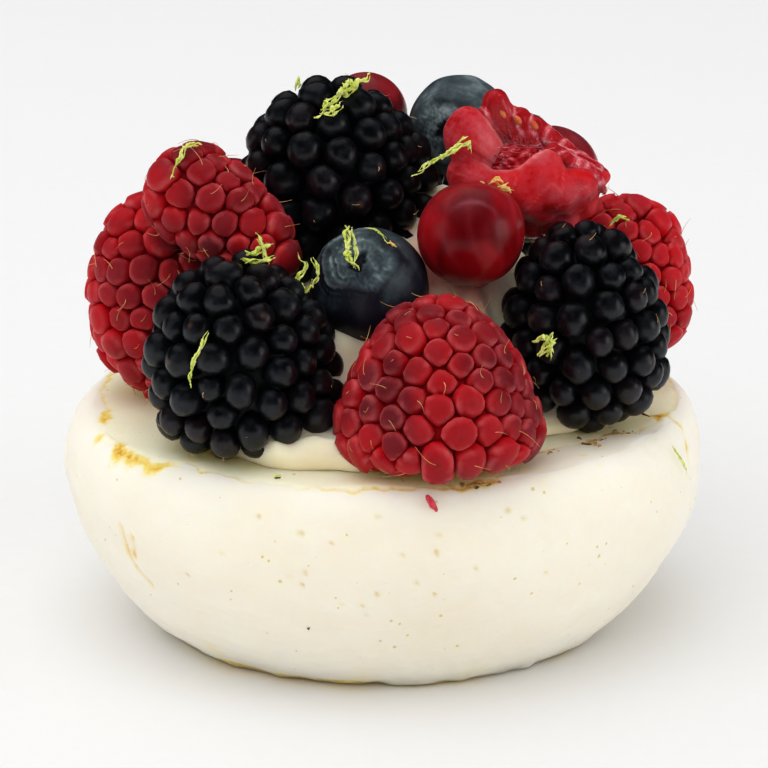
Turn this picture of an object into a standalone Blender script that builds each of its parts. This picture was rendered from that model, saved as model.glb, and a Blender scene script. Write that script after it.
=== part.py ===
"""A one-person pavlova: a meringue shell with a mound of cream under a heap of fresh berries.

The origin is the middle of the flat foot, on the table. +Z is up, and -Y is the front.
Lengths are in millimetres. Each object is scaled by MM, so its shape, and each cut in it, is
worked out in millimetres too: at a few thousandths of a metre the cuts would lose small facets.
"""

import math
from collections import namedtuple

import bmesh
import bpy
import numpy as np
from mathutils import Vector

MM = 0.001                        # metres
GAP = 0.3                         # clearance between pieces that touch

# Meringue shell
SHELL_RADIUS = 35.0               # widest part of the shell
SHELL_BELLY = 18.5                # height of the widest part
FOOT_RADIUS = 24.5                # flat underside
RIM_RADIUS = 31.8                 # cracked edge of the top
RIM_HEIGHT = 24.8
FLOOR_RADIUS = 26.0               # where the shallow dip inside the rim levels out
FLOOR_HEIGHT = 24.2
SHELL_SIDES = 40
FLANK_SHARES = (0.03, 0.13, 0.29, 0.50, 0.74, 1.0)    # closer together where the side curves most

# Cream
MOUND_TOP = 49.6
CREAM_RADIUS = 24.0
CREAM_TONGUE = 5.5                # how much further it spills out at the front
TONGUE_ANGLE = math.radians(-110)
TONGUE_SPREAD = math.radians(17)
CREAM_EDGE = 2.2                  # thickness of the rounded outer edge
BELL_SHARES = (0.10, 0.25, 0.40, 0.55, 0.70, 0.84, 0.95)
CREAM_SIDES = 32
CREAM_MIDDLE = (2.0, 1.0)         # the mound is a little off the shell's middle

# Fruit
KNOB_SIDES = 18                   # two sides to each drupelet round the berry
KNOB_RINGS = 12                   # two rings to each row of drupelets
KNOB_DEPTH = 0.075                # creases between drupelets, as a share of the berry's size
BALL_SIDES = 14
BALL_RINGS = 8
CUTTER_SIDES = 14
CUTTER_RINGS = 8
CUTTER_GROWTH = 1.04              # makes up for the flat facets of a cutter
TEAR_WALL = 2.4                   # flesh left round the hollow of the torn raspberry
TEAR_SHIFT = 4.0                  # how far the hollow lies towards its opening
TEAR_SIDE = (0.0, -0.45, 1.0)     # the hollow opens up and to the front
EYES = {                          # share of the fruit's radius, and depth
    "blueberry": (0.55, 1.2),
    "redcurrant": (0.30, 0.5),
}

Fruit = namedtuple("Fruit", "name kind place tip length width")

# Each fruit has the place of its middle, the way its tip points, its length and its width.
FRUITS = (
    Fruit("raspberry_left", "raspberry", (-24.8, 1.0, 36.2), (-0.16, 0.05, 1.0), 23.0, 16.6),
    Fruit("raspberry_upper_left", "raspberry", (-17.0, -6.9, 47.1), (0.76, -0.30, -0.50), 18.4, 10.6),
    Fruit("raspberry_front", "raspberry", (5.6, -23.3, 33.5), (-0.12, 0.10, 1.0), 18.0, 22.0),
    Fruit("raspberry_right", "raspberry", (26.5, 7.2, 36.8), (0.10, 0.10, 1.0), 17.2, 16.0),
    Fruit("raspberry_back", "raspberry", (-1.0, 24.5, 34.8), (0.10, -0.10, 1.0), 18.4, 17.6),
    Fruit("raspberry_torn", "torn", (16.1, 0.0, 51.4), (0.88, -0.10, -0.42), 17.8, 12.8),
    Fruit("bramble_top", "bramble", (-4.9, 3.7, 48.6), (0.15, -0.30, 1.0), 22.6, 20.8),
    Fruit("bramble_left", "bramble", (-15.0, -18.3, 35.4), (-0.10, 0.10, 1.0), 21.2, 20.8),
    Fruit("bramble_right", "bramble", (21.9, -10.4, 35.9), (0.05, 0.0, 1.0), 22.6, 18.0),
    Fruit("bramble_back_right", "bramble", (14.4, 25.2, 42.2), (-0.40, 0.30, 1.0), 17.8, 15.8),
    Fruit("bramble_back_left", "bramble", (-19.2, 20.8, 33.2), (0.80, 0.60, 0.10), 18.8, 15.6),
    Fruit("blueberry_front", "blueberry", (-1.6, -11.4, 40.5), (-0.20, -0.68, 0.70), 12.0, 12.4),
    Fruit("blueberry_top", "blueberry", (8.5, 12.2, 52.5), (-0.10, -0.80, 0.55), 10.6, 11.4),
    Fruit("blueberry_back", "blueberry", (-10.2, 18.8, 46.6), (0.30, 0.70, 0.50), 9.4, 10.4),
    Fruit("redcurrant_front", "redcurrant", (9.3, -10.0, 46.0), (0.20, -0.30, -1.0), 11.4, 11.6),
    Fruit("redcurrant_top", "redcurrant", (-2.0, 18.2, 52.6), (0.10, 0.20, -1.0), 9.4, 9.4),
    Fruit("redcurrant_right", "redcurrant", (18.7, 12.2, 46.9), (0.30, -0.20, -1.0), 11.2, 11.2),
    Fruit("redcurrant_left", "redcurrant", (-17.2, 12.6, 43.6), (-0.20, 0.20, -1.0), 10.0, 10.0),
)

# sRGB colour, roughness
FINISHES = {
    "meringue": ("F4EEDD", 0.75),
    "cream": ("F1EAD6", 0.45),
    "raspberry": ("9E1A24", 0.45),
    "bramble": ("17161A", 0.30),
    "blueberry": ("2C3A4C", 0.50),
    "redcurrant": ("7A0B14", 0.12),
}


def clear_scene():
    """Remove every object that is there before the model."""
    for thing in list(bpy.data.objects):
        bpy.data.objects.remove(thing, do_unlink=True)


def new_collection(name):
    """Make a collection in the scene."""
    group = bpy.data.collections.new(name)
    bpy.context.scene.collection.children.link(group)
    return group


def linear(code):
    """Turn an sRGB hex colour into linear red, green, blue and alpha."""
    shares = [int(code[i:i + 2], 16) / 255 for i in (0, 2, 4)]
    return [s / 12.92 if s <= 0.04045 else ((s + 0.055) / 1.055) ** 2.4 for s in shares] + [1.0]


def make_finish(name, colour, roughness):
    """Make the material of one kind of piece."""
    material = bpy.data.materials.new(name)
    material.use_nodes = True
    shader = material.node_tree.nodes["Principled BSDF"]
    shader.inputs["Base Color"].default_value = linear(colour)
    shader.inputs["Roughness"].default_value = roughness
    shader.inputs["Metallic"].default_value = 0.0
    return material


def add_object(name, shape, group, finish=None):
    """Put a bmesh into the collection as a smooth shaded object."""
    mesh = bpy.data.meshes.new(name)
    bmesh.ops.recalc_face_normals(shape, faces=shape.faces)
    shape.to_mesh(mesh)
    shape.free()
    mesh.shade_smooth()
    thing = bpy.data.objects.new(name, mesh)
    thing.scale = (MM, MM, MM)
    group.objects.link(thing)
    if finish:
        mesh.materials.append(finish)
    return thing


def turned(profile, sides):
    """Spin an outline of (radius, height) points, from axis to axis, into a closed shape."""
    shape = bmesh.new()
    points = [shape.verts.new((radius, 0.0, height)) for radius, height in profile]
    edges = [shape.edges.new(pair) for pair in zip(points, points[1:])]
    bmesh.ops.spin(
        shape, geom=points + edges, axis=(0, 0, 1), cent=(0, 0, 0),
        angle=2 * math.pi, steps=sides, use_merge=True,
    )
    bmesh.ops.remove_doubles(shape, verts=shape.verts, dist=0.001)
    return shape


# --- Meringue shell -------------------------------------------------------------------------

def flank_radius(height):
    """Radius of the shell's side below its widest part: a rounded, undercut bowl."""
    drop = 1.0 - height / SHELL_BELLY
    return FOOT_RADIUS + (SHELL_RADIUS - FOOT_RADIUS) * max(0.0, 1.0 - drop ** 1.7) ** 0.77


def floor_height(radius):
    """Height of the shell's top inside the rim: a shallow dip with a level floor."""
    share = min(1.0, max(0.0, (radius - FLOOR_RADIUS) / (RIM_RADIUS - FLOOR_RADIUS)))
    return FLOOR_HEIGHT + (RIM_HEIGHT - FLOOR_HEIGHT) * share * share * (3.0 - 2.0 * share)


def shell_profile():
    """Outline of the shell from the middle of its foot, up its side, to the middle of its top."""
    flank = [(flank_radius(h), h) for h in SHELL_BELLY * np.array(FLANK_SHARES)]
    shoulder = []
    for turn in (0.25, 0.5, 0.75, 1.0):
        angle = turn * math.radians(80)
        radius = RIM_RADIUS + (SHELL_RADIUS - RIM_RADIUS) * math.cos(angle)
        shoulder.append((radius, SHELL_BELLY + (RIM_HEIGHT - SHELL_BELLY) * math.sin(angle)))
    top = [(r, floor_height(r)) for r in np.linspace(RIM_RADIUS, FLOOR_RADIUS, 4)]
    return [(0.0, 0.0), (FOOT_RADIUS, 0.0)] + flank + shoulder + top + [(0.0, FLOOR_HEIGHT)]


def shell_swell(angle, height):
    """How far the shell is from round: broad bulges that fade out at the foot."""
    share = min(1.0, height / 6.0)
    wave = 0.45 * math.sin(2 * angle + 0.6) + 0.30 * math.sin(3 * angle + 2.1)
    ripple = 0.18 * math.sin(7 * angle + 5.0 * height / SHELL_BELLY)
    return (wave + ripple) * share


def make_shell(group, finish):
    """The baked meringue."""
    shape = turned(shell_profile(), SHELL_SIDES)
    for point in shape.verts:
        radius = math.hypot(point.co.x, point.co.y)
        if radius > FLOOR_RADIUS - GAP and point.co.z > 0.0:
            angle = math.atan2(point.co.y, point.co.x)
            grown = 1.0 + shell_swell(angle, point.co.z) / radius
            point.co.x *= grown
            point.co.y *= grown
    return add_object("meringue", shape, group, finish)


# --- Fruit ----------------------------------------------------------------------------------

def thimble_radius(height):
    """Width of a picked raspberry at a height from -1 (open end) to 1 (tip)."""
    widest = -0.35
    if height > widest:
        return max(0.0, 1.0 - ((height - widest) / (1.0 - widest)) ** 2) ** 0.46
    return max(0.0, 1.0 - ((widest - height) / (1.0 + widest)) ** 4) ** 0.5


def egg_radius(height):
    """Width of a bramble at a height from -1 to 1: a blunt ellipse."""
    return max(0.0, 1.0 - abs(height) ** 2.2) ** 0.48


def ball_radius(height):
    """Width of a round fruit at a height from -1 to 1."""
    return max(0.0, 1.0 - height * height) ** 0.5


OUTLINES = {
    "raspberry": thimble_radius, "torn": thimble_radius, "bramble": egg_radius,
    "blueberry": ball_radius, "redcurrant": ball_radius,
}


def knob(ring, side):
    """1 on the crown of a drupelet, 0 in the creases; each row is half a step round."""
    on_row = ring % 2 == 0
    return 1.0 if on_row and (side + ring // 2) % 2 == 0 else 0.0


def fruit_body(fruit, sides, rings, knobbly=False, grow=0.0):
    """A fruit standing on its own axis with its tip up, made from a globe of sides and rings."""
    outline = OUTLINES[fruit.kind]
    half_length = fruit.length / 2 + grow
    half_width = fruit.width / 2 + grow
    shape = bmesh.new()
    bmesh.ops.create_uvsphere(shape, u_segments=sides, v_segments=rings, radius=1.0)
    for point in shape.verts:
        height = min(1.0, max(-1.0, point.co.z))
        angle = math.atan2(point.co.y, point.co.x)
        ring = round(math.acos(height) / math.pi * rings)
        side = round(angle / (2 * math.pi) * sides) % sides
        depth = 1.0 - KNOB_DEPTH * (1.0 - knob(ring, side)) if knobbly else 1.0
        radius = outline(height) * half_width * depth
        point.co = (radius * math.cos(angle), radius * math.sin(angle), height * half_length * depth)
    return shape


def sink_eye(shape, eye_radius, eye_depth):
    """Press the round eye of a blueberry or redcurrant into its tip end."""
    for point in shape.verts:
        radius = math.hypot(point.co.x, point.co.y)
        if point.co.z > 0.0 and radius < eye_radius:
            point.co.z -= eye_depth * (1.0 - (radius / eye_radius) ** 2)


def stand(thing, fruit):
    """Move a fruit, or its cutter, to its place and point its tip."""
    thing.location = Vector(fruit.place) * MM
    thing.rotation_mode = "QUATERNION"
    thing.rotation_quaternion = Vector(fruit.tip).to_track_quat("Z", "Y")
    return thing


def make_knobbly(fruit, group, finish):
    """A raspberry or a bramble."""
    shape = fruit_body(fruit, KNOB_SIDES, KNOB_RINGS, knobbly=True)
    return stand(add_object(fruit.name, shape, group, finish), fruit)


def make_smooth(fruit, group, finish):
    """A blueberry or a redcurrant, with the small hollow that its flower leaves."""
    shape = fruit_body(fruit, BALL_SIDES, BALL_RINGS)
    share, depth = EYES[fruit.kind]
    sink_eye(shape, fruit.width / 2 * share, depth)
    return stand(add_object(fruit.name, shape, group, finish), fruit)


def hide_cutter(thing):
    """A cutter shows as wires and isn't part of the model."""
    thing.hide_render = True
    thing.display_type = "WIRE"
    return thing


def cut(thing, cutter):
    """Take a cutter's shape out of a piece."""
    modifier = thing.modifiers.new("cut_" + cutter.name, "BOOLEAN")
    modifier.operation = "DIFFERENCE"
    modifier.solver = "EXACT"
    modifier.object = cutter


def tear_open(torn, fruit, cutters):
    """Open the torn raspberry's hollow."""
    hollow = bmesh.new()
    bmesh.ops.create_uvsphere(hollow, u_segments=CUTTER_SIDES, v_segments=CUTTER_RINGS, radius=1.0)
    half_length = fruit.length / 2 - TEAR_WALL
    half_width = fruit.width / 2 - TEAR_WALL
    bmesh.ops.scale(hollow, verts=hollow.verts, vec=(half_width, half_width, half_length))
    cutter = stand(hide_cutter(add_object("hollow", hollow, cutters)), fruit)
    cutter.location += Vector(TEAR_SIDE).normalized() * TEAR_SHIFT * MM
    cut(torn, cutter)


# --- Cream ----------------------------------------------------------------------------------

def mound_profile():
    """Outline of the cream: level underside, rounded edge, and a bell up to the top."""
    base = FLOOR_HEIGHT + GAP
    edge = []
    for rise in (0.0, 0.3, 0.7, 1.0):
        radius = CREAM_RADIUS - CREAM_EDGE * (rise - 0.5) ** 2
        edge.append((radius, base + CREAM_EDGE * rise))
    bell = []
    for share in BELL_SHARES:
        height = base + CREAM_EDGE + (MOUND_TOP - base - CREAM_EDGE) * share
        bell.append(((CREAM_RADIUS - 1.5) * (1.0 - share ** 0.8) ** 0.75, height))
    return [(0.0, base)] + edge + bell + [(0.0, MOUND_TOP)]


def cream_lobes(angle):
    """How far the cream's edge is from round: soft scallops, and a tongue that spills out."""
    scallops = 0.5 * math.sin(11 * angle + 0.8) + 0.6 * math.sin(4 * angle + 2.0)
    tongue = CREAM_TONGUE * math.exp(-((angle - TONGUE_ANGLE) / TONGUE_SPREAD) ** 2)
    return scallops + tongue


def fruit_cutter(fruit, cutters):
    """A smooth body a little larger than a fruit, which makes the fruit's bed in the cream."""
    shape = fruit_body(fruit, CUTTER_SIDES, CUTTER_RINGS, grow=GAP)
    bmesh.ops.scale(shape, verts=shape.verts, vec=(CUTTER_GROWTH,) * 3)
    return stand(hide_cutter(add_object("bed_" + fruit.name, shape, cutters)), fruit)


def make_cream(group, cutters, finish):
    """The cream mound, with a bed for each fruit."""
    shape = turned(mound_profile(), CREAM_SIDES)
    for point in shape.verts:
        radius = math.hypot(point.co.x, point.co.y)
        if radius > GAP:
            share = radius / CREAM_RADIUS
            grown = 1.0 + cream_lobes(math.atan2(point.co.y, point.co.x)) * share ** 4 / radius
            lean = 1.0 - share ** 2
            point.co.x = point.co.x * grown + CREAM_MIDDLE[0] * lean
            point.co.y = point.co.y * grown + CREAM_MIDDLE[1] * lean
            point.co.z += floor_height(radius * grown) - FLOOR_HEIGHT
    cream = add_object("cream", shape, group, finish)
    for fruit in FRUITS:
        cut(cream, fruit_cutter(fruit, cutters))


def main():
    clear_scene()
    group = new_collection("pavlova")
    cutters = new_collection("cutters")
    finishes = {name: make_finish(name, *look) for name, look in FINISHES.items()}
    make_shell(group, finishes["meringue"])
    make_cream(group, cutters, finishes["cream"])
    for fruit in FRUITS:
        if fruit.kind in EYES:
            make_smooth(fruit, group, finishes[fruit.kind])
        elif fruit.kind == "torn":
            tear_open(make_knobbly(fruit, group, finishes["raspberry"]), fruit, cutters)
        else:
            make_knobbly(fruit, group, finishes[fruit.kind])


main()
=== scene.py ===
"""A one-person pavlova: a pale meringue shell, a heap of cream, fresh berries and lime zest.

Lengths are in millimetres until a mesh is made. +Z is up, -Y is the front, and the origin is
the middle of the foot on the table. Every shape is worked out as whole arrays of points.
"""

import math
from collections import namedtuple

import bpy
import numpy as np
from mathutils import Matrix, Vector


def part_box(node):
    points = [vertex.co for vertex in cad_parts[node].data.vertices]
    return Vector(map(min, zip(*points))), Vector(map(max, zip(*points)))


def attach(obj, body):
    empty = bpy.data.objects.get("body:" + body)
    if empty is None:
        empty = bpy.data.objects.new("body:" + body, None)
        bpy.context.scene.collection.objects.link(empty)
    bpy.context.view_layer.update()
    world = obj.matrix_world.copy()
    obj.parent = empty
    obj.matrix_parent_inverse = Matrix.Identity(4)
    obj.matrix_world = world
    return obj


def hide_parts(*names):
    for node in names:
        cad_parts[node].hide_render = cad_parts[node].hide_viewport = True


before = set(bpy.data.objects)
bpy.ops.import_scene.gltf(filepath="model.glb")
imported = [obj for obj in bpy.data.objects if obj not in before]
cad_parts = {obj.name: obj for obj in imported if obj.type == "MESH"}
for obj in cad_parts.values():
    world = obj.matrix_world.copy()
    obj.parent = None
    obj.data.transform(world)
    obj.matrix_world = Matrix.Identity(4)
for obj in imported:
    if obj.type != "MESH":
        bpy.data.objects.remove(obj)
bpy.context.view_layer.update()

MM = 0.001                        # metres

# Meringue shell
SHELL_RADIUS = 35.0
SHELL_BELLY = 18.5                # height of the widest part
FOOT_RADIUS = 24.5
RIM_RADIUS = 31.8
RIM_HEIGHT = 24.9
FLOOR_HEIGHT = 24.7               # the top, where the fruit stands, is nearly level with the rim
SHELL_SIDES = 560

# The crack where the dry top lifted off the side, and the sugar that wept from it: angle in
# degrees, radius, half width of the stain, its strength, and how brown it is
CRACK = (
    (-180, 31.6, 0.3, 0.35, 0.0), (-174, 30.9, 0.3, 0.4, 0.0), (-171, 30.8, 0.28, 0.2, 0.0),
    (-168, 31.0, 0.45, 0.55, 0.0), (-163, 31.4, 0.7, 0.95, 0.0), (-160, 31.8, 0.45, 0.3, 0.0),
    (-158, 32.6, 0.25, 0.05, 0.0), (-155, 33.0, 0.6, 0.65, 0.0), (-153, 32.9, 0.3, 0.05, 0.0),
    (-150, 32.7, 0.3, 0.1, 0.0), (-147, 32.7, 0.75, 1.25, 0.2), (-144, 33.0, 0.5, 0.85, 0.1),
    (-141, 33.1, 0.5, 1.0, 0.1), (-138, 33.1, 0.4, 0.7, 0.0), (-134, 32.9, 0.55, 0.95, 0.1),
    (-132, 32.4, 0.3, 0.3, 0.0), (-129, 31.7, 0.22, 0.25, 0.2), (-125, 32.2, 0.25, 0.55, 0.2),
    (-122, 31.9, 0.2, 0.15, 0.2), (-119, 32.3, 0.25, 0.4, 0.4), (-112, 32.4, 0.15, 0.1, 0.3),
    (-103, 32.6, 0.2, 0.3, 0.2), (-96, 32.6, 0.25, 0.45, 0.2), (-88, 32.3, 0.25, 0.5, 0.3),
    (-83, 32.4, 0.22, 0.3, 0.5), (-77, 32.6, 0.35, 0.75, 0.8), (-72, 32.6, 0.5, 0.95, 0.8),
    (-69, 32.3, 0.35, 0.65, 0.7), (-65, 30.6, 0.25, 0.2, 0.5), (-58, 27.9, 0.25, 0.15, 0.5),
    (-51, 26.5, 0.3, 0.65, 0.6), (-46, 26.4, 0.3, 0.5, 0.6), (-41, 26.9, 0.25, 0.15, 0.6),
    (-36, 27.8, 0.5, 0.9, 0.8), (-33, 28.0, 0.25, 0.35, 0.8), (-29, 28.5, 0.6, 1.1, 0.8),
    (-26.5, 30.3, 0.25, 0.15, 0.7), (-24, 30.5, 0.4, 0.4, 0.5), (-20, 30.8, 0.25, 0.1, 0.2),
    (-16, 31.3, 0.6, 0.95, 0.2), (-12, 31.7, 0.35, 0.35, 0.0), (0, 31.9, 0.25, 0.25, 0.0),
    (30, 32.4, 0.45, 0.6, 0.2), (60, 31.6, 0.2, 0.15, 0.2), (90, 31.9, 0.5, 0.8, 0.4),
    (120, 32.6, 0.25, 0.3, 0.4), (150, 31.9, 0.55, 0.75, 0.1), (180, 31.6, 0.3, 0.35, 0.0),
)
# Other stains on the shell: angle in degrees, height, half width, strength, and how brown
STAINS = (
    (-45.8, 24.8, 0.45, 0.45, 0.4), (-27.7, 24.8, 0.5, 0.6, 0.6), (-31.0, 24.8, 0.4, 0.35, 0.6),
    (-60.0, 24.7, 1.3, 0.2, 0.7), (-130.0, 3.0, 1.4, 0.25, 0.0), (-95.0, 1.2, 2.2, 0.22, 0.1),
    (-70.0, 1.5, 1.8, 0.2, 0.1), (120.0, 20.0, 0.8, 0.5, 0.2), (60.0, 14.0, 0.6, 0.4, 0.3),
)
# Cracks in the side, each a line of places: angle in degrees and height
SIDE_CRACKS = (
    ((-141.8, 17.0), (-142.1, 13.4), (-139.0, 10.4)), ((-138.6, 16.4), (-140.4, 13.8)),
    ((-15.6, 24.6), (-15.4, 23.6), (-16.2, 22.2), (-17.4, 20.6)),
    ((52.0, 19.0), (54.0, 14.0), (51.0, 9.5)), ((140.0, 16.0), (138.0, 11.0)),
)
SIDE_CRACK_WIDTH = 0.50           # half of it, where it has faded
SIDE_FROM = 26.0                  # side cracks and pin-holes lie outside this radius
STAIN_RING = 30.5                 # radius of the stains that lie on the level top
# Where the foot caught in the oven: the middle in degrees, half its width in radians
CAUGHT_FOOT = -122.0
CAUGHT_SPREAD = 0.36
# Pin-holes where bubbles burst: angle in degrees, height, half width
PINHOLES = (
    (-67.7, 22.1, 0.26), (-64.7, 21.1, 0.2), (-112.0, 21.8, 0.22), (-104.4, 20.4, 0.26),
    (-87.0, 18.4, 0.2), (-81.0, 18.6, 0.24), (-80.6, 20.4, 0.2), (-91.0, 22.4, 0.2),
    (-103.6, 16.2, 0.22), (-104.2, 14.8, 0.2), (-106.4, 15.6, 0.18), (-91.2, 13.8, 0.24),
    (-84.4, 15.2, 0.2), (-81.0, 13.6, 0.2), (-94.0, 12.4, 0.18), (-93.0, 11.2, 0.16),
    (-97.4, 12.6, 0.16), (-118.0, 17.5, 0.16), (-126.0, 14.0, 0.18), (-99.0, 19.6, 0.16),
    (-74.0, 16.5, 0.18), (-60.0, 14.5, 0.16), (20.0, 18.0, 0.26), (48.0, 21.0, 0.22),
    (85.0, 16.0, 0.26), (95.0, 20.0, 0.2), (135.0, 13.0, 0.24), (160.0, 19.0, 0.22),
)

# Cream
MOUND_TOP = 48.0
CREAM_RADIUS = 24.0
CREAM_EDGE = 2.8                  # thickness of the rounded outer edge
CREAM_BASE = 24.6
CREAM_TONGUE = 6.8                # how much further it spills out at the front
TONGUE_ANGLE = math.radians(-118)
TONGUE_LIFT = 0.35                # and how much thicker it is there, as a share
TONGUE_SPREAD = math.radians(24)
CREAM_MIDDLE = (2.0, 1.0)
CREAM_PEAK = (6.5, 3.5)
CREAM_HOLLOW = 5.0                # how far it is pressed in behind the front fruit
HOLLOW_ANGLE = math.radians(-101)
CREAM_SIDES, BELL_RINGS, EDGE_RINGS = 300, 100, 13
# Fruit whose juice stains the cream: CAD node, and how far from its middle the stain reaches
JUICY = (("raspberry_front", 11.6), ("redcurrant_front", 9.2), ("raspberry_torn", 9.0))


def thimble(height):
    """Width of a blunt berry from -1 (stalk end) to 1 (tip), widest at -0.35: towards the tip
    (1 - t^2)^0.46 with t the share of the way there, and below (1 - t^4)^0.5."""
    above = np.clip(1.0 - ((height + 0.35) / 1.35) ** 2, 0.0, 1.0) ** 0.46
    below = np.clip(1.0 - ((-0.35 - height) / 0.65) ** 4, 0.0, 1.0) ** 0.5
    return np.where(height > -0.35, above, below)


def cone(height):
    """Width of a raspberry that narrows steadily to its tip: above -0.45 it is
    (1 - t^1.3)^0.5 with t the share of the way to the tip, and below it is (1 - t^6)^0.4."""
    share = np.clip((height + 0.45) / 1.45, 0.0, 1.0)
    below = np.clip(1.0 - ((-0.45 - height) / 0.55) ** 6, 0.0, 1.0) ** 0.4
    return np.where(height > -0.45, (1.0 - share ** 1.3) ** 0.5, below)


def egg(height):
    """Width of an even berry from -1 to 1: (1 - |h|^2.2)^0.48."""
    return np.clip(1.0 - np.abs(height) ** 2.2, 0.0, 1.0) ** 0.48


def pear(height):
    """Width of a berry that is wider below: that of the egg at h + 0.15 (1 - h^2)."""
    return egg(height + 0.15 * (1.0 - height ** 2))


# A berry: CAD node, outline, way the tip points, length, width, spacing between drupelets, and
# how much lighter or darker it is than the others of its kind, partly its own ripeness and
# partly painted light that lifts a berry lying in shade
Berry = namedtuple("Berry", "node outline tip length width spacing shade")

RASPBERRIES = (
    Berry("raspberry_left", pear, (-0.12, 0.05, 1.0), 22.8, 16.6, 3.60, 0.8),
    Berry("raspberry_upper_left", thimble, (0.76, -0.30, -0.50), 18.2, 10.8, 3.30, 0.25),
    Berry("raspberry_front", cone, (-0.02, 0.10, 1.0), 17.4, 21.6, 3.30, -0.1),
    Berry("raspberry_right", thimble, (0.10, 0.10, 1.0), 17.4, 16.2, 3.10, 1.8),
    Berry("raspberry_back", thimble, (0.10, -0.10, 1.0), 18.0, 17.2, 3.30, 0.1),
)
BRAMBLES = (
    Berry("bramble_top", thimble, (-0.20, -0.16, 1.0), 21.6, 21.4, 4.40, 0.0),
    Berry("bramble_left", thimble, (-0.18, -0.10, 1.0), 20.0, 20.2, 4.20, 0.0),
    Berry("bramble_right", pear, (-0.12, 0.0, 1.0), 22.4, 17.4, 4.05, 0.0),
    Berry("bramble_back_right", egg, (-0.40, 0.30, 1.0), 17.6, 15.6, 3.90, 0.0),
    Berry("bramble_back_left", egg, (0.80, 0.60, 0.10), 18.6, 15.4, 4.00, 0.0),
)

# How drupelets grow, in shares of their own spacing: half width, half depth, how far they stand
# out of the berry's skin, slack between them, how much longer they are than wide, and how deep
# the plain core lies under the skin. Then how hard they press on each other, and how much their
# sizes vary.
Habit = namedtuple("Habit", "across deep bulge spare tall sunk press vary")
RASPBERRY_HABIT = Habit(0.83, 0.58, 0.08, 0.0, 1.12, 0.34, 6.5, 0.20)
BRAMBLE_HABIT = Habit(0.48, 0.56, 0.12, 0.030, 1.20, 0.60, 8.0, 0.18)

# A smooth fruit: CAD node, way the tip points, length, width, how marked a blueberry's flower
# ring or a redcurrant's painted highlight arc is, and how thick its bloom, which on a
# redcurrant grows towards the top as bloom and painted highlight
Ball = namedtuple("Ball", "node tip length width mark bloom")
BLUEBERRIES = (
    Ball("blueberry_front", (-0.20, -0.68, 0.70), 12.6, 12.8, 0.8, 0.24),
    Ball("blueberry_top", (-0.42, -0.88, 0.12), 10.8, 11.6, 0.15, 0.50),
    Ball("blueberry_back", (0.30, 0.70, 0.50), 9.6, 10.6, 0.8, 0.40),
)
REDCURRANTS = (
    Ball("redcurrant_front", (0.20, -0.30, -1.0), 11.4, 11.6, 1.1, 0.16),
    Ball("redcurrant_top", (0.10, 0.20, -1.0), 9.4, 9.4, 0.0, 0.40),
    Ball("redcurrant_right", (0.30, -0.20, -1.0), 11.2, 11.2, 0.2, 0.40),
    Ball("redcurrant_left", (-0.20, 0.20, -1.0), 10.0, 10.0, 0.2, 0.30),
)


# --- Points and faces -----------------------------------------------------------------------

def unit(vectors):
    """Each vector divided by its own length."""
    return vectors / np.linalg.norm(vectors, axis=-1, keepdims=True)


def ease(share):
    """Smooth step from 0 to 1: 3 s^2 - 2 s^3, held at both ends."""
    share = np.clip(share, 0.0, 1.0)
    return share * share * (3.0 - 2.0 * share)


def hump(distance, width):
    """A soft hump: e to the power of minus (distance / width) squared."""
    return np.exp(-(distance / width) ** 2)


def ripples(points, length, seed, waves=14):
    """Soft unevenness, about -1 to 1: the sum of plane waves sin(2 pi p.d / l + phase) in random
    directions d, of lengths l 0.7 to 1.5 times `length`, over the root of twice their count."""
    rng = np.random.default_rng(seed)
    ways = unit(rng.normal(size=(waves, 3))) / (length * rng.uniform(0.7, 1.5, (waves, 1)))
    phases = rng.uniform(0.0, 2 * np.pi, waves)
    return np.sin(2 * np.pi * points @ ways.T + phases).sum(-1) / math.sqrt(waves * 2.0)


def closed_faces(rows, sides):
    """Faces of a closed surface: point 0 is a pole, then come `rows` rings of `sides` points that
    turn to the left as seen from that pole, and the last point is the other pole."""
    ring = 1 + np.arange(rows * sides).reshape(rows, sides)
    after = np.roll(ring, -1, axis=1)
    quads = np.stack((ring[:-1], ring[1:], after[1:], after[:-1]), -1).reshape(-1, 4)
    first = np.stack((np.zeros(sides, int), ring[0], after[0]), -1)
    last = np.stack((np.full(sides, rows * sides + 1), after[-1], ring[-1]), -1)
    return quads, np.concatenate((first, last))


def closed_points(first, rings, last):
    """The points that closed_faces joins: a pole, rings (rows, sides, 3) and a pole."""
    first, last = np.reshape((first, last), (2, 1, 3))
    return np.concatenate((first, rings.reshape(-1, 3), last))


def ball_rays(rows, sides, crowding=1.0):
    """Directions of a closed ball's points. Ring k of n lies at the polar angle pi s^crowding with
    s = (k + 1) / (n + 1), so a crowding above 1 brings the rings together at the first pole."""
    polar = np.pi * (np.arange(1, rows + 1) / (rows + 1)) ** crowding
    turn = 2 * np.pi * np.arange(sides) / sides
    rings = np.stack((
        np.sin(polar)[:, None] * np.cos(turn),
        np.sin(polar)[:, None] * np.sin(turn),
        np.repeat(np.cos(polar)[:, None], sides, axis=1),
    ), -1)
    return closed_points((0, 0, 1), rings, (0, 0, -1))


def polar_and_turn(rays):
    """Each direction's angle from +Z and its turn round Z."""
    return np.arccos(np.clip(rays[:, 2], -1, 1)), np.arctan2(rays[:, 1], rays[:, 0])


def copies(points, faces):
    """Many surfaces (count, n, 3) with the same faces, as one set of points and faces."""
    count, size = points.shape[:2]
    shift = (np.arange(count) * size)[:, None, None]
    faces = [(kind[None] + shift).reshape(-1, kind.shape[1]) for kind in faces]
    return points.reshape(-1, 3), faces


def joined(*surfaces):
    """Several (points, faces) sets as one."""
    points, faces, start = [], [], 0
    for some_points, some_faces in surfaces:
        points.append(some_points)
        faces += [kind + start for kind in some_faces]
        start += len(some_points)
    return np.concatenate(points), faces


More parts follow.
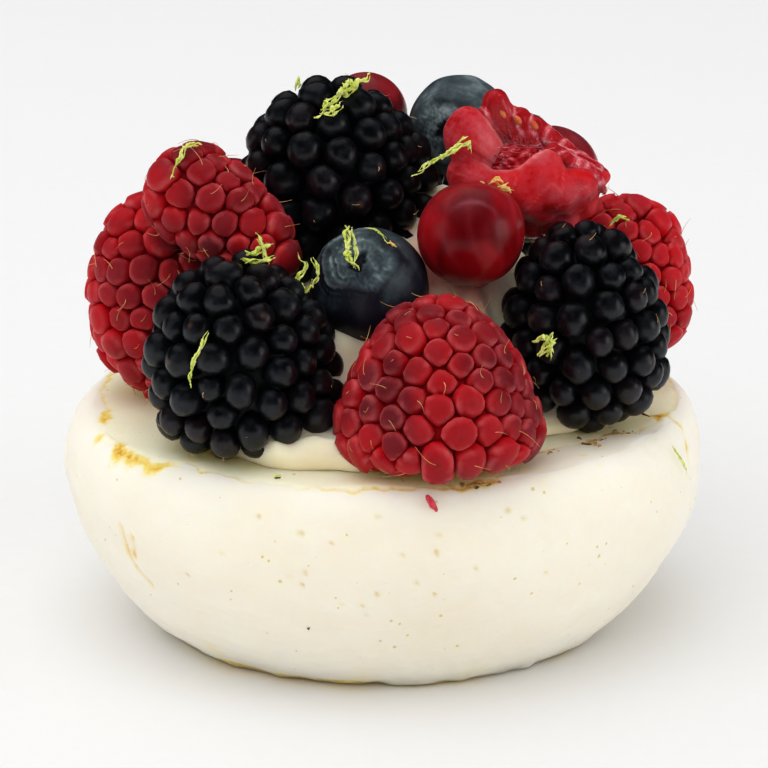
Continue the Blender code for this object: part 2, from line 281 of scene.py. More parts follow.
def make_piece(name, points, faces, finish, node=None, fields=()):
    """Put points in mm and faces into a smooth shaded mesh that rides on the part. `node` is the
    CAD node that it stands for, and `fields` are numbers that its material reads at each point."""
    mesh = bpy.data.meshes.new(name)
    corners = np.concatenate([kind.ravel() for kind in faces]).astype(np.int32)
    sizes = np.concatenate([np.full(len(kind), kind.shape[1]) for kind in faces])
    mesh.vertices.add(len(points))
    mesh.vertices.foreach_set("co", (points * MM).astype(np.float32).ravel())
    mesh.loops.add(len(corners))
    mesh.loops.foreach_set("vertex_index", corners)
    mesh.polygons.add(len(sizes))
    mesh.polygons.foreach_set("loop_start", (np.cumsum(sizes) - sizes).astype(np.int32))
    mesh.polygons.foreach_set("use_smooth", np.ones(len(sizes), bool))
    for field, values in dict(fields).items():
        attribute = mesh.attributes.new(field, "FLOAT", "POINT")
        attribute.data.foreach_set("value", np.asarray(values, np.float32).ravel())
    mesh.update(calc_edges=True)
    mesh.materials.append(finish)
    piece = bpy.data.objects.new(name, mesh)
    bpy.context.scene.collection.objects.link(piece)
    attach(piece, "root")
    if node:
        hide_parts(node)
    return piece


def middle_of(node):
    """The middle of a CAD node's box, in mm."""
    low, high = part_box(node)
    return np.array((low + high) / 2) / MM


def turn_to(tip):
    """Rotation that takes +Z to the way a fruit's tip points, as the CAD piece is turned."""
    return np.array(Vector(tip).to_track_quat("Z", "Y").to_matrix())


# --- Materials ------------------------------------------------------------------------------

def linear(code):
    """Turn an sRGB hex colour into linear red, green, blue and alpha."""
    shares = [int(code[i:i + 2], 16) / 255 for i in (0, 2, 4)]
    return [s / 12.92 if s <= 0.04045 else ((s + 0.055) / 1.055) ** 2.4 for s in shares] + [1.0]


def add(tree, kind, settings=(), links=()):
    """Add a node, give it its settings and socket values, and link its sockets. A link comes
    from a socket, from a node's Fac or else its first output in use, or from the piece's field
    of that name."""
    node = tree.nodes.new("ShaderNode" + kind)
    for name, value in dict(settings).items():
        if name == "stops":
            for place, code in value[2:]:
                node.color_ramp.elements.new(place)
            for stop, (place, code) in zip(node.color_ramp.elements, value):
                stop.position = place
                stop.color = linear(code)
        elif isinstance(name, int) or name in node.inputs:
            node.inputs[name].default_value = value
        else:
            setattr(node, name, value)
    for name, source in dict(links).items():
        if isinstance(source, str):
            source = add(tree, "Attribute", {"attribute_name": source})
        if isinstance(source, bpy.types.Node):
            in_use = [socket for socket in source.outputs if socket.enabled]
            source = source.outputs.get("Fac") or in_use[0]
        tree.links.new(source, node.inputs[name])
    return node


def new_finish(name):
    """An empty node material."""
    material = bpy.data.materials.new(name)
    material.use_nodes = True
    material.node_tree.nodes.clear()
    return material, material.node_tree


def place_in_mm(tree):
    """Object coordinates in mm, for patterns."""
    place = add(tree, "TexCoord").outputs["Object"]
    return add(tree, "Mapping", {"Scale": (1 / MM, 1 / MM, 1 / MM)}, {"Vector": place})


def baked_meringue():
    """Baked meringue: whipped egg white and sugar, dried in a low oven. Its crust is matt, cream
    white and slightly see-through, with pin-holes where bubbles burst, painted a darker tan as
    the shade inside them, faint specks, and sugar that wept from the cracks, honey yellow where
    it is fresh and tan where it browned."""
    material, tree = new_finish("baked_meringue")
    place = place_in_mm(tree)
    cloud = add(tree, "TexNoise", {"Scale": 0.09, "Detail": 3.0}, {"Vector": place})
    outside = add(tree, "ValToRGB", {"stops": ((0.30, "F4EEE0"), (0.70, "F1E9D7"))},
                  {"Fac": cloud})
    # Painted light: the level top is lighter, to lift the fruit's shade on it, and yellower.
    crust = add(tree, "Mix", {"data_type": "RGBA", 7: linear("FFF4D6")}, {0: "yellow_top_and_painted_light", 6: outside})
    grain = add(tree, "TexNoise", {"Scale": 1.3, "Detail": 4.0, "Roughness": 0.65},
                {"Vector": place})
    patchy = add(tree, "MapRange",
                 {"From Min": 0.30, "From Max": 0.62, "To Min": 0.55, "To Max": 1.1},
                 {"Value": grain})
    amount = add(tree, "Math", {"operation": "MULTIPLY", "use_clamp": True},
                 {0: "syrup", 1: patchy})
    honey = add(tree, "ValToRGB",
                {"stops": ((0.0, "F8EFD2"), (0.4, "F4DC8C"), (0.75, "EDCB6A"), (1.0, "DDA843"))},
                {"Fac": amount})
    tan = add(tree, "ValToRGB", {"stops": ((0.0, "F3E8CC"), (0.5, "DFC48A"), (1.0, "B98E4E"))},
              {"Fac": amount})
    sugar = add(tree, "Mix", {"data_type": "RGBA"}, {0: "toast", 6: honey, 7: tan})
    cover = add(tree, "Math", {"operation": "MULTIPLY", "use_clamp": True, 1: 2.2}, {0: amount})
    syruped = add(tree, "Mix", {"data_type": "RGBA"}, {0: cover, 6: crust, 7: sugar})
    # Fine pin-holes of 0.2 to 0.5 mm, 2 mm or so apart, and only where the noise is high.
    cells = add(tree, "TexVoronoi", {"Scale": 0.8, "Randomness": 1.0}, {"Vector": place})
    sparse = add(tree, "TexNoise", {"Scale": 0.30, "Detail": 1.0}, {"Vector": place})
    reach = add(tree, "MapRange",
                {"From Min": 0.44, "From Max": 0.72, "To Min": 0.0, "To Max": 0.20},
                {"Value": sparse})
    inside = add(tree, "Math", {"operation": "SUBTRACT"}, {0: reach, 1: cells})
    fine = add(tree, "MapRange", {"From Min": 0.0, "From Max": 0.05}, {"Value": inside})
    both = add(tree, "Math", {"operation": "MAXIMUM"}, {0: fine, 1: "hole"})
    # Painted shade: the pin-holes, from the noise and from the field hole, are painted a darker
    # tan.
    pits_shaded = add(tree, "Mix", {"data_type": "RGBA", 7: linear("DDCD98")}, {0: both, 6: syruped})
    tooth = add(tree, "TexNoise", {"Scale": 2.6, "Detail": 5.0, "Roughness": 0.6},
                {"Vector": place})
    relief = add(tree, "Math", {"operation": "SUBTRACT"}, {0: tooth, 1: fine})
    bump = add(tree, "Bump", {"Strength": 0.30, "Distance": 0.12 * MM}, {"Height": relief})
    shader = add(tree, "BsdfPrincipled", {
        "Roughness": 0.72, "IOR": 1.45, "Specular IOR Level": 0.25, "Subsurface Weight": 0.75,
        "Subsurface Radius": (1.0, 0.85, 0.65), "Subsurface Scale": 9.0 * MM,
    }, {"Base Color": pits_shaded, "Normal": bump})
    add(tree, "OutputMaterial", {}, {"Surface": shader})
    return material


def whipped_cream():
    """Whipped cream: a soft foam of milk fat, spooned on. It is ivory and satin, light goes a
    little way in, and raspberry juice tints it where fruit rests on it."""
    material, tree = new_finish("whipped_cream")
    place = place_in_mm(tree)
    cloud = add(tree, "TexNoise", {"Scale": 0.5, "Detail": 3.0}, {"Vector": place})
    stain = add(tree, "Math", {"operation": "MULTIPLY", "use_clamp": True}, {0: "juice", 1: cloud})
    colour = add(tree, "Mix", {"data_type": "RGBA", 6: linear("F6EFD4"), 7: linear("D8766E")},
                 {0: stain})
    foam = add(tree, "TexNoise", {"Scale": 1.1, "Detail": 4.0}, {"Vector": place})
    bump = add(tree, "Bump", {"Strength": 0.25, "Distance": 0.15 * MM}, {"Height": foam})
    shader = add(tree, "BsdfPrincipled", {
        "Roughness": 0.42, "IOR": 1.45, "Specular IOR Level": 0.4, "Subsurface Weight": 0.6,
        "Subsurface Radius": (1.0, 0.8, 0.5), "Subsurface Scale": 1.2 * MM,
    }, {"Base Color": colour, "Normal": bump})
    add(tree, "OutputMaterial", {}, {"Surface": shader})
    return material


def raspberry_skin(name, shades, glow_colour, down, most, roughness, sheen):
    """Ripe raspberry: thin downy skin over wet red flesh. Each drupelet is its own shade of red.
    A purer red is painted glow, as of light shining through the flesh: in the creases, by the
    field press, and in soft patches. The down is a greyish pink, `most` thick, in soft blots and
    fine grains. A pale line is torn skin along torn edges, and along pressed edges a painted
    highlight where the drupelets' edges catch the light. The field `tone` runs to about 1.8,
    where the lightest of the four shades lies."""
    material, tree = new_finish(name)
    place = place_in_mm(tree)
    ripeness = add(tree, "Math", {"operation": "MULTIPLY", "use_clamp": True, 1: 0.55},
                   {0: "tone"})
    colour = add(tree, "ValToRGB", {"stops": tuple(zip((0.0, 0.22, 0.55, 1.0), shades))},
                 {"Fac": ripeness})
    # Painted glow: patches 8 mm or so across are a purer red, as of light shining through.
    glow_patches = add(tree, "TexNoise", {"Scale": 0.13, "Detail": 1.0}, {"Vector": place})
    juice = add(tree, "MapRange",
                {"From Min": 0.44, "From Max": 0.60, "To Min": 0.0, "To Max": 0.50},
                {"Value": glow_patches})
    lit = add(tree, "Mix", {"data_type": "RGBA", 7: linear(glow_colour)}, {0: juice, 6: colour})
    # Painted glow: the creases, by the field press, are a purer red, as of light shining through.
    glow = add(tree, "Mix", {"data_type": "RGBA", 7: linear(glow_colour)}, {0: "press", 6: lit})
    # Down: blots of 2 mm or so with grains of 0.3 mm in them, thinner where glow is painted.
    blots = add(tree, "TexNoise", {"Scale": 0.42, "Detail": 6.0, "Roughness": 0.72},
                {"Vector": place})
    thick = add(tree, "MapRange",
                {"From Min": 0.36, "From Max": 0.68, "To Min": 0.02, "To Max": most},
                {"Value": blots})
    thin = add(tree, "Math", {"operation": "MULTIPLY_ADD", 1: -0.75, 2: 1.0}, {0: juice})
    mottle = add(tree, "Math", {"operation": "MULTIPLY", "use_clamp": True}, {0: thick, 1: thin})
    downy = add(tree, "Mix", {"data_type": "RGBA", 7: linear(down)}, {0: mottle, 6: glow})
    # A pale pink line: torn skin along torn edges, and on whole berries a painted highlight where
    # the edges of the drupelets catch the light.
    patchy = add(tree, "Math", {"operation": "MULTIPLY", "use_clamp": True}, {0: "pale", 1: blots})
    edge_highlighted = add(tree, "Mix", {"data_type": "RGBA", 7: linear("E08A8C")}, {0: patchy, 6: downy})
    scarred = add(tree, "Mix", {"data_type": "RGBA", 7: linear("7A2A20")}, {0: "scar", 6: edge_highlighted})
    fuzz = add(tree, "TexNoise", {"Scale": 4.0, "Detail": 3.0}, {"Vector": place})
    bump = add(tree, "Bump", {"Strength": 0.35, "Distance": 0.05 * MM}, {"Height": fuzz})
    shader = add(tree, "BsdfPrincipled", {
        "Roughness": roughness, "IOR": 1.38, "Specular IOR Level": 0.15, "Subsurface Weight": 0.8,
        "Subsurface Radius": (1.0, 0.06, 0.07), "Subsurface Scale": 1.8 * MM,
        "Sheen Weight": sheen, "Sheen Roughness": 0.35, "Sheen Tint": linear("F4B4B4"),
    }, {"Base Color": scarred, "Normal": bump})
    add(tree, "OutputMaterial", {}, {"Surface": shader})
    return material


def torn_flesh():
    """Inside of a torn raspberry: wet, stringy flesh, clear red with pale pink membranes."""
    material, tree = new_finish("torn_raspberry_flesh")
    place = place_in_mm(tree)
    string = add(tree, "TexNoise",
                 {"Scale": 1.0, "Detail": 6.0, "Roughness": 0.75, "Distortion": 2.0},
                 {"Vector": place})
    grain = add(tree, "MapRange",
                {"From Min": 0.35, "From Max": 0.68, "To Min": 0.35, "To Max": 1.25},
                {"Value": string})
    amount = add(tree, "Math", {"operation": "MULTIPLY", "use_clamp": True}, {0: "pale", 1: grain})
    colour = add(tree, "ValToRGB",
                 {"stops": ((0.0, "A00E18"), (0.25, "B8202C"), (0.6, "D0606C"), (1.0, "E8A8A8"))},
                 {"Fac": amount})
    bump = add(tree, "Bump", {"Strength": 0.8, "Distance": 0.25 * MM}, {"Height": string})
    shader = add(tree, "BsdfPrincipled", {
        "Roughness": 0.22, "IOR": 1.38, "Subsurface Weight": 0.7,
        "Subsurface Radius": (1.0, 0.2, 0.18), "Subsurface Scale": 1.2 * MM,
        "Coat Weight": 0.4, "Coat Roughness": 0.1,
    }, {"Base Color": colour, "Normal": bump})
    add(tree, "OutputMaterial", {}, {"Surface": shader})
    return material


def bramble_skin():
    """Ripe bramble: taut skin, nearly black with some purple, with a satin gloss, a trace of
    blue-grey bloom on the outer ends, painted shade in the creases, and now and then a brown
    scar where a style was."""
    material, tree = new_finish("bramble_skin")
    place = place_in_mm(tree)
    colour = add(tree, "ValToRGB", {"stops": ((0.0, "090B10"), (0.7, "0D0C12"), (1.0, "1A0F14"))},
                 {"Fac": "tone"})
    cloud = add(tree, "TexNoise", {"Scale": 0.8, "Detail": 4.0, "Roughness": 0.6},
                {"Vector": place})
    bloom = add(tree, "MapRange",
                {"From Min": 0.42, "From Max": 0.80, "To Min": 0.0, "To Max": 0.14},
                {"Value": cloud})
    dusted = add(tree, "Mix", {"data_type": "RGBA", 7: linear("566470")}, {0: bloom, 6: colour})
    # Painted shade: the creases between drupelets, by the field press, are painted nearly black.
    shaded = add(tree, "Mix", {"data_type": "RGBA", 7: linear("030304")}, {0: "press", 6: dusted})
    scarred = add(tree, "Mix", {"data_type": "RGBA", 7: linear("6A4630")}, {0: "scar", 6: shaded})
    rub = add(tree, "MapRange", {"From Min": 0.3, "From Max": 0.7, "To Min": 0.28, "To Max": 0.42},
              {"Value": cloud})
    shine = add(tree, "Math", {"operation": "MULTIPLY_ADD", 1: 0.5}, {0: "press", 2: rub})
    pore = add(tree, "TexNoise", {"Scale": 4.0, "Detail": 3.0}, {"Vector": place})
    bump = add(tree, "Bump", {"Strength": 0.20, "Distance": 0.05 * MM}, {"Height": pore})
    shader = add(tree, "BsdfPrincipled", {
        "IOR": 1.45, "Specular IOR Level": 0.5, "Sheen Weight": 0.04, "Sheen Roughness": 0.25,
        "Sheen Tint": linear("B8C6D4"),
    }, {"Base Color": scarred, "Roughness": shine, "Normal": bump})
    add(tree, "OutputMaterial", {}, {"Surface": shader})
    return material


def blueberry_skin():
    """Blueberry: dark blue-violet skin under a waxy, blue-green grey bloom that has rubbed off in
    soft patches. It is dull where the wax is thick and satin where it is gone."""
    material, tree = new_finish("blueberry_skin")
    place = place_in_mm(tree)
    rub = add(tree, "TexNoise", {"Scale": 0.45, "Detail": 6.0, "Roughness": 0.62},
              {"Vector": place})
    kept = add(tree, "MapRange",
               {"From Min": 0.25, "From Max": 0.75, "To Min": 0.35, "To Max": 1.0}, {"Value": rub})
    amount = add(tree, "Math", {"operation": "MULTIPLY", "use_clamp": True}, {0: "wax", 1: kept})
    colour = add(tree, "ValToRGB",
                 {"stops": ((0.0, "11101C"), (0.25, "20242F"), (0.55, "4A585C"), (1.0, "98A4A6"))},
                 {"Fac": amount})
    shine = add(tree, "MapRange", {"To Min": 0.36, "To Max": 0.62}, {"Value": amount})
    pore = add(tree, "TexNoise", {"Scale": 3.0, "Detail": 4.0}, {"Vector": place})
    bump = add(tree, "Bump", {"Strength": 0.30, "Distance": 0.07 * MM}, {"Height": pore})
    shader = add(tree, "BsdfPrincipled", {"IOR": 1.45, "Specular IOR Level": 0.4},
                 {"Base Color": colour, "Roughness": shine, "Normal": bump})
    add(tree, "OutputMaterial", {}, {"Surface": shader})
    return material


def redcurrant_skin():
    """Redcurrant: a taut skin over clear red pulp. Light glows in it, a clearer red where it is
    clear, with a hazy mauve on the upper side that is partly bloom and partly painted highlight,
    a painted highlight arc, and faint meridian lines."""
    material, tree = new_finish("redcurrant_skin")
    place = place_in_mm(tree)
    cloud = add(tree, "TexNoise", {"Scale": 0.16, "Detail": 2.0, "Distortion": 0.8},
                {"Vector": place})
    pulp = add(tree, "ValToRGB", {"stops": ((0.38, "66060E"), (0.52, "800A13"), (0.68, "A0101B"))},
               {"Fac": cloud})
    rub = add(tree, "TexNoise", {"Scale": 0.6, "Detail": 5.0, "Roughness": 0.65},
              {"Vector": place})
    kept = add(tree, "MapRange",
               {"From Min": 0.30, "From Max": 0.70, "To Min": 0.5, "To Max": 1.0}, {"Value": rub})
    # A hazy mauve on the upper side, partly bloom and partly painted highlight, with a painted
    # highlight arc.
    bloom = add(tree, "Math", {"operation": "MULTIPLY", "use_clamp": True}, {0: "bloom_and_highlight", 1: kept})
    highlighted_bloom = add(tree, "Mix", {"data_type": "RGBA", 7: linear("8E4A54")}, {0: bloom, 6: pulp})
    lined = add(tree, "Mix", {"data_type": "RGBA", 7: linear("C2606A")}, {0: "vein", 6: highlighted_bloom})
    shader = add(tree, "BsdfPrincipled", {
        "Roughness": 0.25, "IOR": 1.42, "Specular IOR Level": 0.32, "Subsurface Weight": 0.8,
        "Subsurface Radius": (1.0, 0.08, 0.07), "Subsurface Scale": 1.6 * MM,
        "Sheen Weight": 0.05, "Sheen Roughness": 0.35, "Sheen Tint": linear("D8B8B8"),
    }, {"Base Color": lined})
    add(tree, "OutputMaterial", {}, {"Surface": shader})
    return material


def plain_finish(name, dark, light, scale, roughness, soft=0.0):
    """A small thing's finish: its colour wanders between two shades over 1 / scale mm."""
    material, tree = new_finish(name)
    place = place_in_mm(tree)
    cloud = add(tree, "TexNoise", {"Scale": scale, "Detail": 4.0, "Roughness": 0.65},
                {"Vector": place})
    colour = add(tree, "ValToRGB", {"stops": ((0.35, dark), (0.65, light))}, {"Fac": cloud})
    bump = add(tree, "Bump", {"Strength": 0.5, "Distance": 0.08 * MM}, {"Height": cloud})
    shader = add(tree, "BsdfPrincipled", {
        "Roughness": roughness, "IOR": 1.45, "Subsurface Weight": soft,
        "Subsurface Radius": (1.0, 0.8, 0.3), "Subsurface Scale": 0.5 * MM,
    }, {"Base Color": colour, "Normal": bump})
    add(tree, "OutputMaterial", {}, {"Surface": shader})
    return material


MERINGUE = baked_meringue()
CREAM = whipped_cream()
RASPBERRY = raspberry_skin(
    "raspberry_skin", ("5C0411", "6A0514", "820817", "A60B1C"),
    glow_colour="C80A18", down="6C1A2C", most=0.40, roughness=0.40, sheen=0.05)
TORN_SKIN = raspberry_skin(
    "torn_raspberry_skin", ("8C0E18", "A0121B", "B81A22", "B81A22"),
    glow_colour="D4181C", down="C8626E", most=0.70, roughness=0.22, sheen=0.14)
FLESH = torn_flesh()
BRAMBLE = bramble_skin()
BLUEBERRY = blueberry_skin()
REDCURRANT = redcurrant_skin()
# Grated lime peel: yellow-green, rough and oily, and a little see-through.
ZEST = plain_finish("lime_zest", "BCCB3C", "EDF29C", scale=1.6, roughness=0.5, soft=0.4)
# Dried styles: fine golden brown threads.
THREAD = plain_finish("dried_styles", "C08848", "F0C48C", scale=1.0, roughness=0.5)
# Grated orange peel: golden and oily.
ORANGE = plain_finish("orange_zest", "D8963C", "F8D488", scale=1.6, roughness=0.45, soft=0.4)
# Dark bits of peel and browned sugar.
FLECK = plain_finish("dark_flecks", "4A3A1C", "7C6A30", scale=1.6, roughness=0.6)
# A bit of raspberry flesh that stuck to the crust.
SMEAR = plain_finish("raspberry_smear", "B81E36", "D8566A", scale=1.6, roughness=0.35, soft=0.5)
# Browned crumbs of meringue crust.
CRUMB = plain_finish("browned_crumbs", "94703C", "D6B26C", scale=1.2, roughness=0.8)
# Raspberry pips: pale orange and smooth.
PIP = plain_finish("raspberry_pips", "BC5A3C", "DC8C5A", scale=1.0, roughness=0.35, soft=0.5)


# --- Meringue shell -------------------------------------------------------------------------

def flank_radius(height):
    """Radius of the shell's side below its belly: FOOT + (SHELL - FOOT) (1 - drop^1.7)^0.77,
    where drop runs from 1 at the foot to 0 at the belly."""
    drop = 1.0 - height / SHELL_BELLY
    swell = np.clip(1.0 - drop ** 1.7, 0.0, 1.0) ** 0.77
    return FOOT_RADIUS + (SHELL_RADIUS - FOOT_RADIUS) * swell


def floor_height(radius):
    """Height of the shell's top inside the rim: level, easing up to the rim's height."""
    return FLOOR_HEIGHT + (RIM_HEIGHT - FLOOR_HEIGHT) * ease((radius - 24.0) / (RIM_RADIUS - 24.0))


def shell_outline():
    """Radius and height from the middle of the top, out over the rim, down the side and in under
    the foot. The shoulder is a quarter of an ellipse between the rim and the belly."""
    floor = np.linspace(3.0, 23.0, 7)
    rise = np.linspace(24.0, RIM_RADIUS, 42)
    turn = np.radians(np.linspace(84, 0, 46))
    shoulder = RIM_RADIUS + (SHELL_RADIUS - RIM_RADIUS) * np.cos(turn)
    shoulder_height = SHELL_BELLY + (RIM_HEIGHT - SHELL_BELLY) * np.sin(turn)
    flank = SHELL_BELLY * (1.0 - np.linspace(0.0, 1.0, 76)[1:-1] ** 0.8)
    foot = np.array((FOOT_RADIUS + 0.3, FOOT_RADIUS - 0.3, 18.0, 9.0))
    radius = np.concatenate((floor, rise, shoulder, flank_radius(flank), foot))
    height = np.concatenate((
        floor_height(floor), floor_height(rise), shoulder_height, flank, (0.25, 0.0, 0.0, 0.0)))
    return radius, height


def turned_by(angle, degrees):
    """How far an angle in radians is from one in degrees, the short way round."""
    return np.angle(np.exp(1j * (angle - math.radians(degrees))))


def crack_at(angle):
    """The crack's radius, half width, strength and brownness at an angle, read between the places
    of CRACK, with a fine wander of the radius."""
    degrees, *columns = np.array(CRACK, float).T
    radius, width, strength, brown = (np.interp(np.degrees(angle), degrees, c) for c in columns)
    wander = 0.14 * np.sin(37 * angle + 1.0) + 0.12 * np.sin(71 * angle + 0.4)
    wander = wander + 0.06 * np.sin(131 * angle)
    return radius + wander, width, strength, brown


def line_away(across, up, places):
    """The shortest way from points to a line of straight stretches, all in mm."""
    nearest = np.full(across.shape, 99.0)
    for (x, y), (next_x, next_y) in zip(places, places[1:]):
        step_x, step_y = next_x - x, next_y - y
        share = ((across - x) * step_x + (up - y) * step_y) / (step_x ** 2 + step_y ** 2)
        share = np.clip(share, 0.0, 1.0)
        away = np.hypot(across - x - share * step_x, up - y - share * step_y)
        nearest = np.minimum(nearest, away)
    return nearest


def make_meringue():
    """The shell: its outline turned round, swollen by slow waves in the angle, with soft dents, a
    fine crack round the top, short cracks in the side, pin-holes, a ragged foot, and a hair of
    roughness. The fields are humps round the cracks, the stains, the foot and the pin-holes, and
    one over the level top inside the crack, which is painted lighter as painted light."""
    radius, height = (a[:, None] for a in shell_outline())
    angle = np.linspace(-np.pi, np.pi, SHELL_SIDES, endpoint=False)[None, :]
    radius, height, angle = np.broadcast_arrays(radius, height, angle)
    swell = 0.45 * np.sin(2 * angle + 0.6) + 0.30 * np.sin(3 * angle + 2.1)
    swell = swell + 0.18 * np.sin(7 * angle + 5.0 * height / SHELL_BELLY)
    outer = ease((radius - 20.0) / 6.0)
    swell = swell * np.minimum(1.0, height / 6.0) * outer
    flat = np.stack((radius * np.cos(angle), radius * np.sin(angle), height), -1)
    side = ease(height / 3.0) * ease((13.0 - np.abs(radius - 33.0)) / 8.0)
    steep = flat * (1.0, 1.0, 2.2)
    dents = 0.30 * ripples(steep, 26.0, 3) + 0.10 * ripples(steep, 9.0, 4)
    tooth = 0.035 * ripples(flat, 2.6, 5) + 0.02 * ripples(flat, 1.4, 6)
    ragged = ripples(flat, 1.0, 9) + 0.6 * ripples(flat, 0.6, 10)

    # The top crack: a fine groove, with stains of syrup along it.
    on_top = ease((height - 20.5) / 2.5)
    middle, width, strength, brown = crack_at(angle)
    across = radius - middle
    groove = hump(across, 0.20) * on_top * (0.22 + 0.40 * strength)
    syrup = hump(across * (1.0 + 0.15 * ragged), 1.15 * width) * strength * on_top
    toast = brown * hump(across, 2.0)

    # Cracks in the side, stains and pin-holes, by the way from each along the surface.
    on_side = radius > SIDE_FROM
    side_crack = np.zeros(radius.shape)
    for places in SIDE_CRACKS:
        line = [(turn * math.pi / 180 * SHELL_RADIUS, up) for turn, up in places]
        along = turned_by(angle, places[0][0]) + math.radians(places[0][0])
        away = line_away(along * SHELL_RADIUS, height + 0.12 * ragged, line)
        side_crack = np.maximum(side_crack, hump(away, SIDE_CRACK_WIDTH) * on_side)
    for turn, up, half, amount, colour in STAINS:
        out_or_up = np.where(height > 24.5, radius - STAIN_RING, height - up)
        away = np.hypot(turned_by(angle, turn) * radius, out_or_up)
        stain = hump(away * (1.0 + 0.25 * ragged), half) * amount * (radius > 24.0)
        syrup, toast = np.maximum(syrup, stain), np.maximum(toast, stain * colour)
    hole = np.zeros(radius.shape)
    for turn, up, half in PINHOLES:
        away = np.hypot(turned_by(angle, turn) * radius, height - up)
        hole = np.maximum(hole, hump(away, half) * on_side)

    ragged_foot = ripples(flat, 5.0, 13) + 0.6 * ripples(flat, 1.8, 14)
    ragged_foot = 0.45 * hump(height, 0.9) * ragged_foot * outer
    radial = swell + side * dents + outer * tooth * 2.0 + ragged_foot
    radial = radial - 0.30 * side_crack - 0.22 * hole
    level = 0.5 * tooth + 0.15 * ripples(flat, 7.0, 8) * outer
    lift = np.where(radius < RIM_RADIUS + 0.4, level, 0.0) - 0.38 * groove + 0.10 * syrup
    height = np.where(height > 0.3, height + lift, height)
    grown = radius + radial
    rings = np.stack((grown * np.cos(angle), grown * np.sin(angle), height), -1)
    points = closed_points((0, 0, FLOOR_HEIGHT), rings, (0, 0, 0))
    caught = hump(turned_by(angle, CAUGHT_FOOT), CAUGHT_SPREAD)
    foot = 1.0 - ease((height - 0.1) / (0.9 + 1.0 * caught + 0.5 * ripples(flat, 6.0, 11)))
    foot = foot * (radius > 20.0)
    syrup = syrup + 0.55 * side_crack * (0.75 + 0.5 * ripples(flat, 2.0, 15))
    syrup = syrup + 0.75 * foot * (0.6 + 0.5 * caught + 0.4 * ripples(flat, 9.0, 12))
    toast = toast + 0.7 * side_crack + 0.5 * foot * caught
    faces = closed_faces(*radius.shape)
    # The level top, inside the crack, is painted lighter as painted light, and yellower.
    yellow_top_and_painted_light = ease((middle - radius) / 1.2 + 0.5) * (height > 20.0)
    fields = {"syrup": syrup, "toast": toast, "hole": hole, "yellow_top_and_painted_light": yellow_top_and_painted_light}
    fields = {name: np.concatenate(((0.0,), np.clip(values, 0.0, 1.3).ravel(), (0.0,)))
              for name, values in fields.items()}
    return make_piece("meringue_shell", points, faces, MERINGUE, "meringue", fields)


# --- Cream ----------------------------------------------------------------------------------

def make_cream():
    """The cream: a bell (R - 1.5)(1 - s)^0.75 over a rounded edge, its rim scalloped, with a
    tongue that spills out at the front, a hollow above it, and soft spooned ridges. Juice eases
    off with the way from the middle of each juicy fruit."""
    turn = np.linspace(-np.pi, np.pi, CREAM_SIDES, endpoint=False)[None, :]
    share = np.linspace(0.985, 0.0, BELL_RINGS)[:, None]
    bell = (CREAM_RADIUS - 1.5) * (1.0 - share) ** 0.75
    bell_height = CREAM_EDGE + (MOUND_TOP - CREAM_BASE - CREAM_EDGE) * share
    rise = np.linspace(1.0, 0.0, EDGE_RINGS + 1)[1:, None]
    edge = CREAM_RADIUS - 1.2 * (2 * rise - 1.0) ** 2
    under = np.array((20.0, 12.0, 5.0))[:, None]
    radius = np.concatenate((bell, edge, under))
    height = np.concatenate((bell_height, CREAM_EDGE * rise, 0.0 * under))
    share = np.concatenate((share, 0.0 * rise, 0.0 * under))
    radius, height, share, angle = np.broadcast_arrays(radius, height, share, turn)
    tongue = hump(angle - TONGUE_ANGLE, TONGUE_SPREAD)
    scallops = 0.5 * np.sin(11 * angle + 0.8) + 0.6 * np.sin(4 * angle + 2.0)
    scallops = scallops + 0.45 * np.sin(19 * angle + 1.7) + CREAM_TONGUE * tongue
    outer = ease(radius / 15.0)
    hollow = CREAM_HOLLOW * hump(angle - HOLLOW_ANGLE, 0.35) * ease(6.0 * share) * (1.0 - share)
    grown = radius + scallops * (1.0 - share ** 4) * outer - hollow
    flat = np.stack((grown * np.cos(angle), grown * np.sin(angle), height), -1)
    soft = 0.45 * ripples(flat, 7.0, 21) + 0.18 * ripples(flat, 3.0, 22)
    grown = grown + soft * (height > 0.2)
    lean = share ** 2
    x = grown * np.cos(angle) + CREAM_MIDDLE[0] * (1.0 - lean) + CREAM_PEAK[0] * lean
    y = grown * np.sin(angle) + CREAM_MIDDLE[1] * (1.0 - lean) + CREAM_PEAK[1] * lean
    base = floor_height(np.hypot(x, y)) + CREAM_BASE - FLOOR_HEIGHT
    # The tongue is thicker, unevenly so, near its edge.
    spill = tongue * ease((CREAM_EDGE + 1.0 - height) / 1.5)
    spill = TONGUE_LIFT * spill * (1.0 + 0.5 * ripples(flat, 2.6, 24)) * ease((grown - 23.0) / 3.0)
    z = base + height * (1.0 + spill) + 0.3 * ripples(flat, 5.0, 23) * (height > 0.2)
    rings = np.stack((x, y, z), -1)
    points = closed_points((*CREAM_PEAK, MOUND_TOP), rings, (*CREAM_MIDDLE, CREAM_BASE))
    juice = np.zeros(len(points))
    for node, spread in JUICY:
        away = np.linalg.norm(points - middle_of(node), axis=1)
        juice = np.maximum(juice, 1.3 * (1.0 - ease((away - spread * 0.75) / (spread * 0.35))))
    faces = closed_faces(*radius.shape)
    return make_piece("whipped_cream", points, faces, CREAM, "cream", {"juice": juice})


# --- Berries of many drupelets --------------------------------------------------------------

def skin_at(polar, berry):
    """Radius from the axis and height of a berry's skin in the direction `polar`, an angle from
    the tip at its middle: the outline is sampled from tip to base and read between samples."""
    height = np.cos(np.linspace(0.0, np.pi, 400))
    across, along = berry.outline(height) * berry.width / 2, height * berry.length / 2
    away = np.interp(polar, np.arctan2(across, along), np.hypot(across, along))
    return away * np.sin(polar), away * np.cos(polar)


def on_skin(polar, turn, berry):
    """Places on a berry's skin."""
    across, along = skin_at(polar, berry)
    return np.stack((across * np.cos(turn), across * np.sin(turn), along), -1)


RING_STEP = 0.87                  # between rings of drupelets, in spacings
CLOSENESS = 0.515                 # of two drupelets, as a share of the sum of their sizes
PUSHES = 60


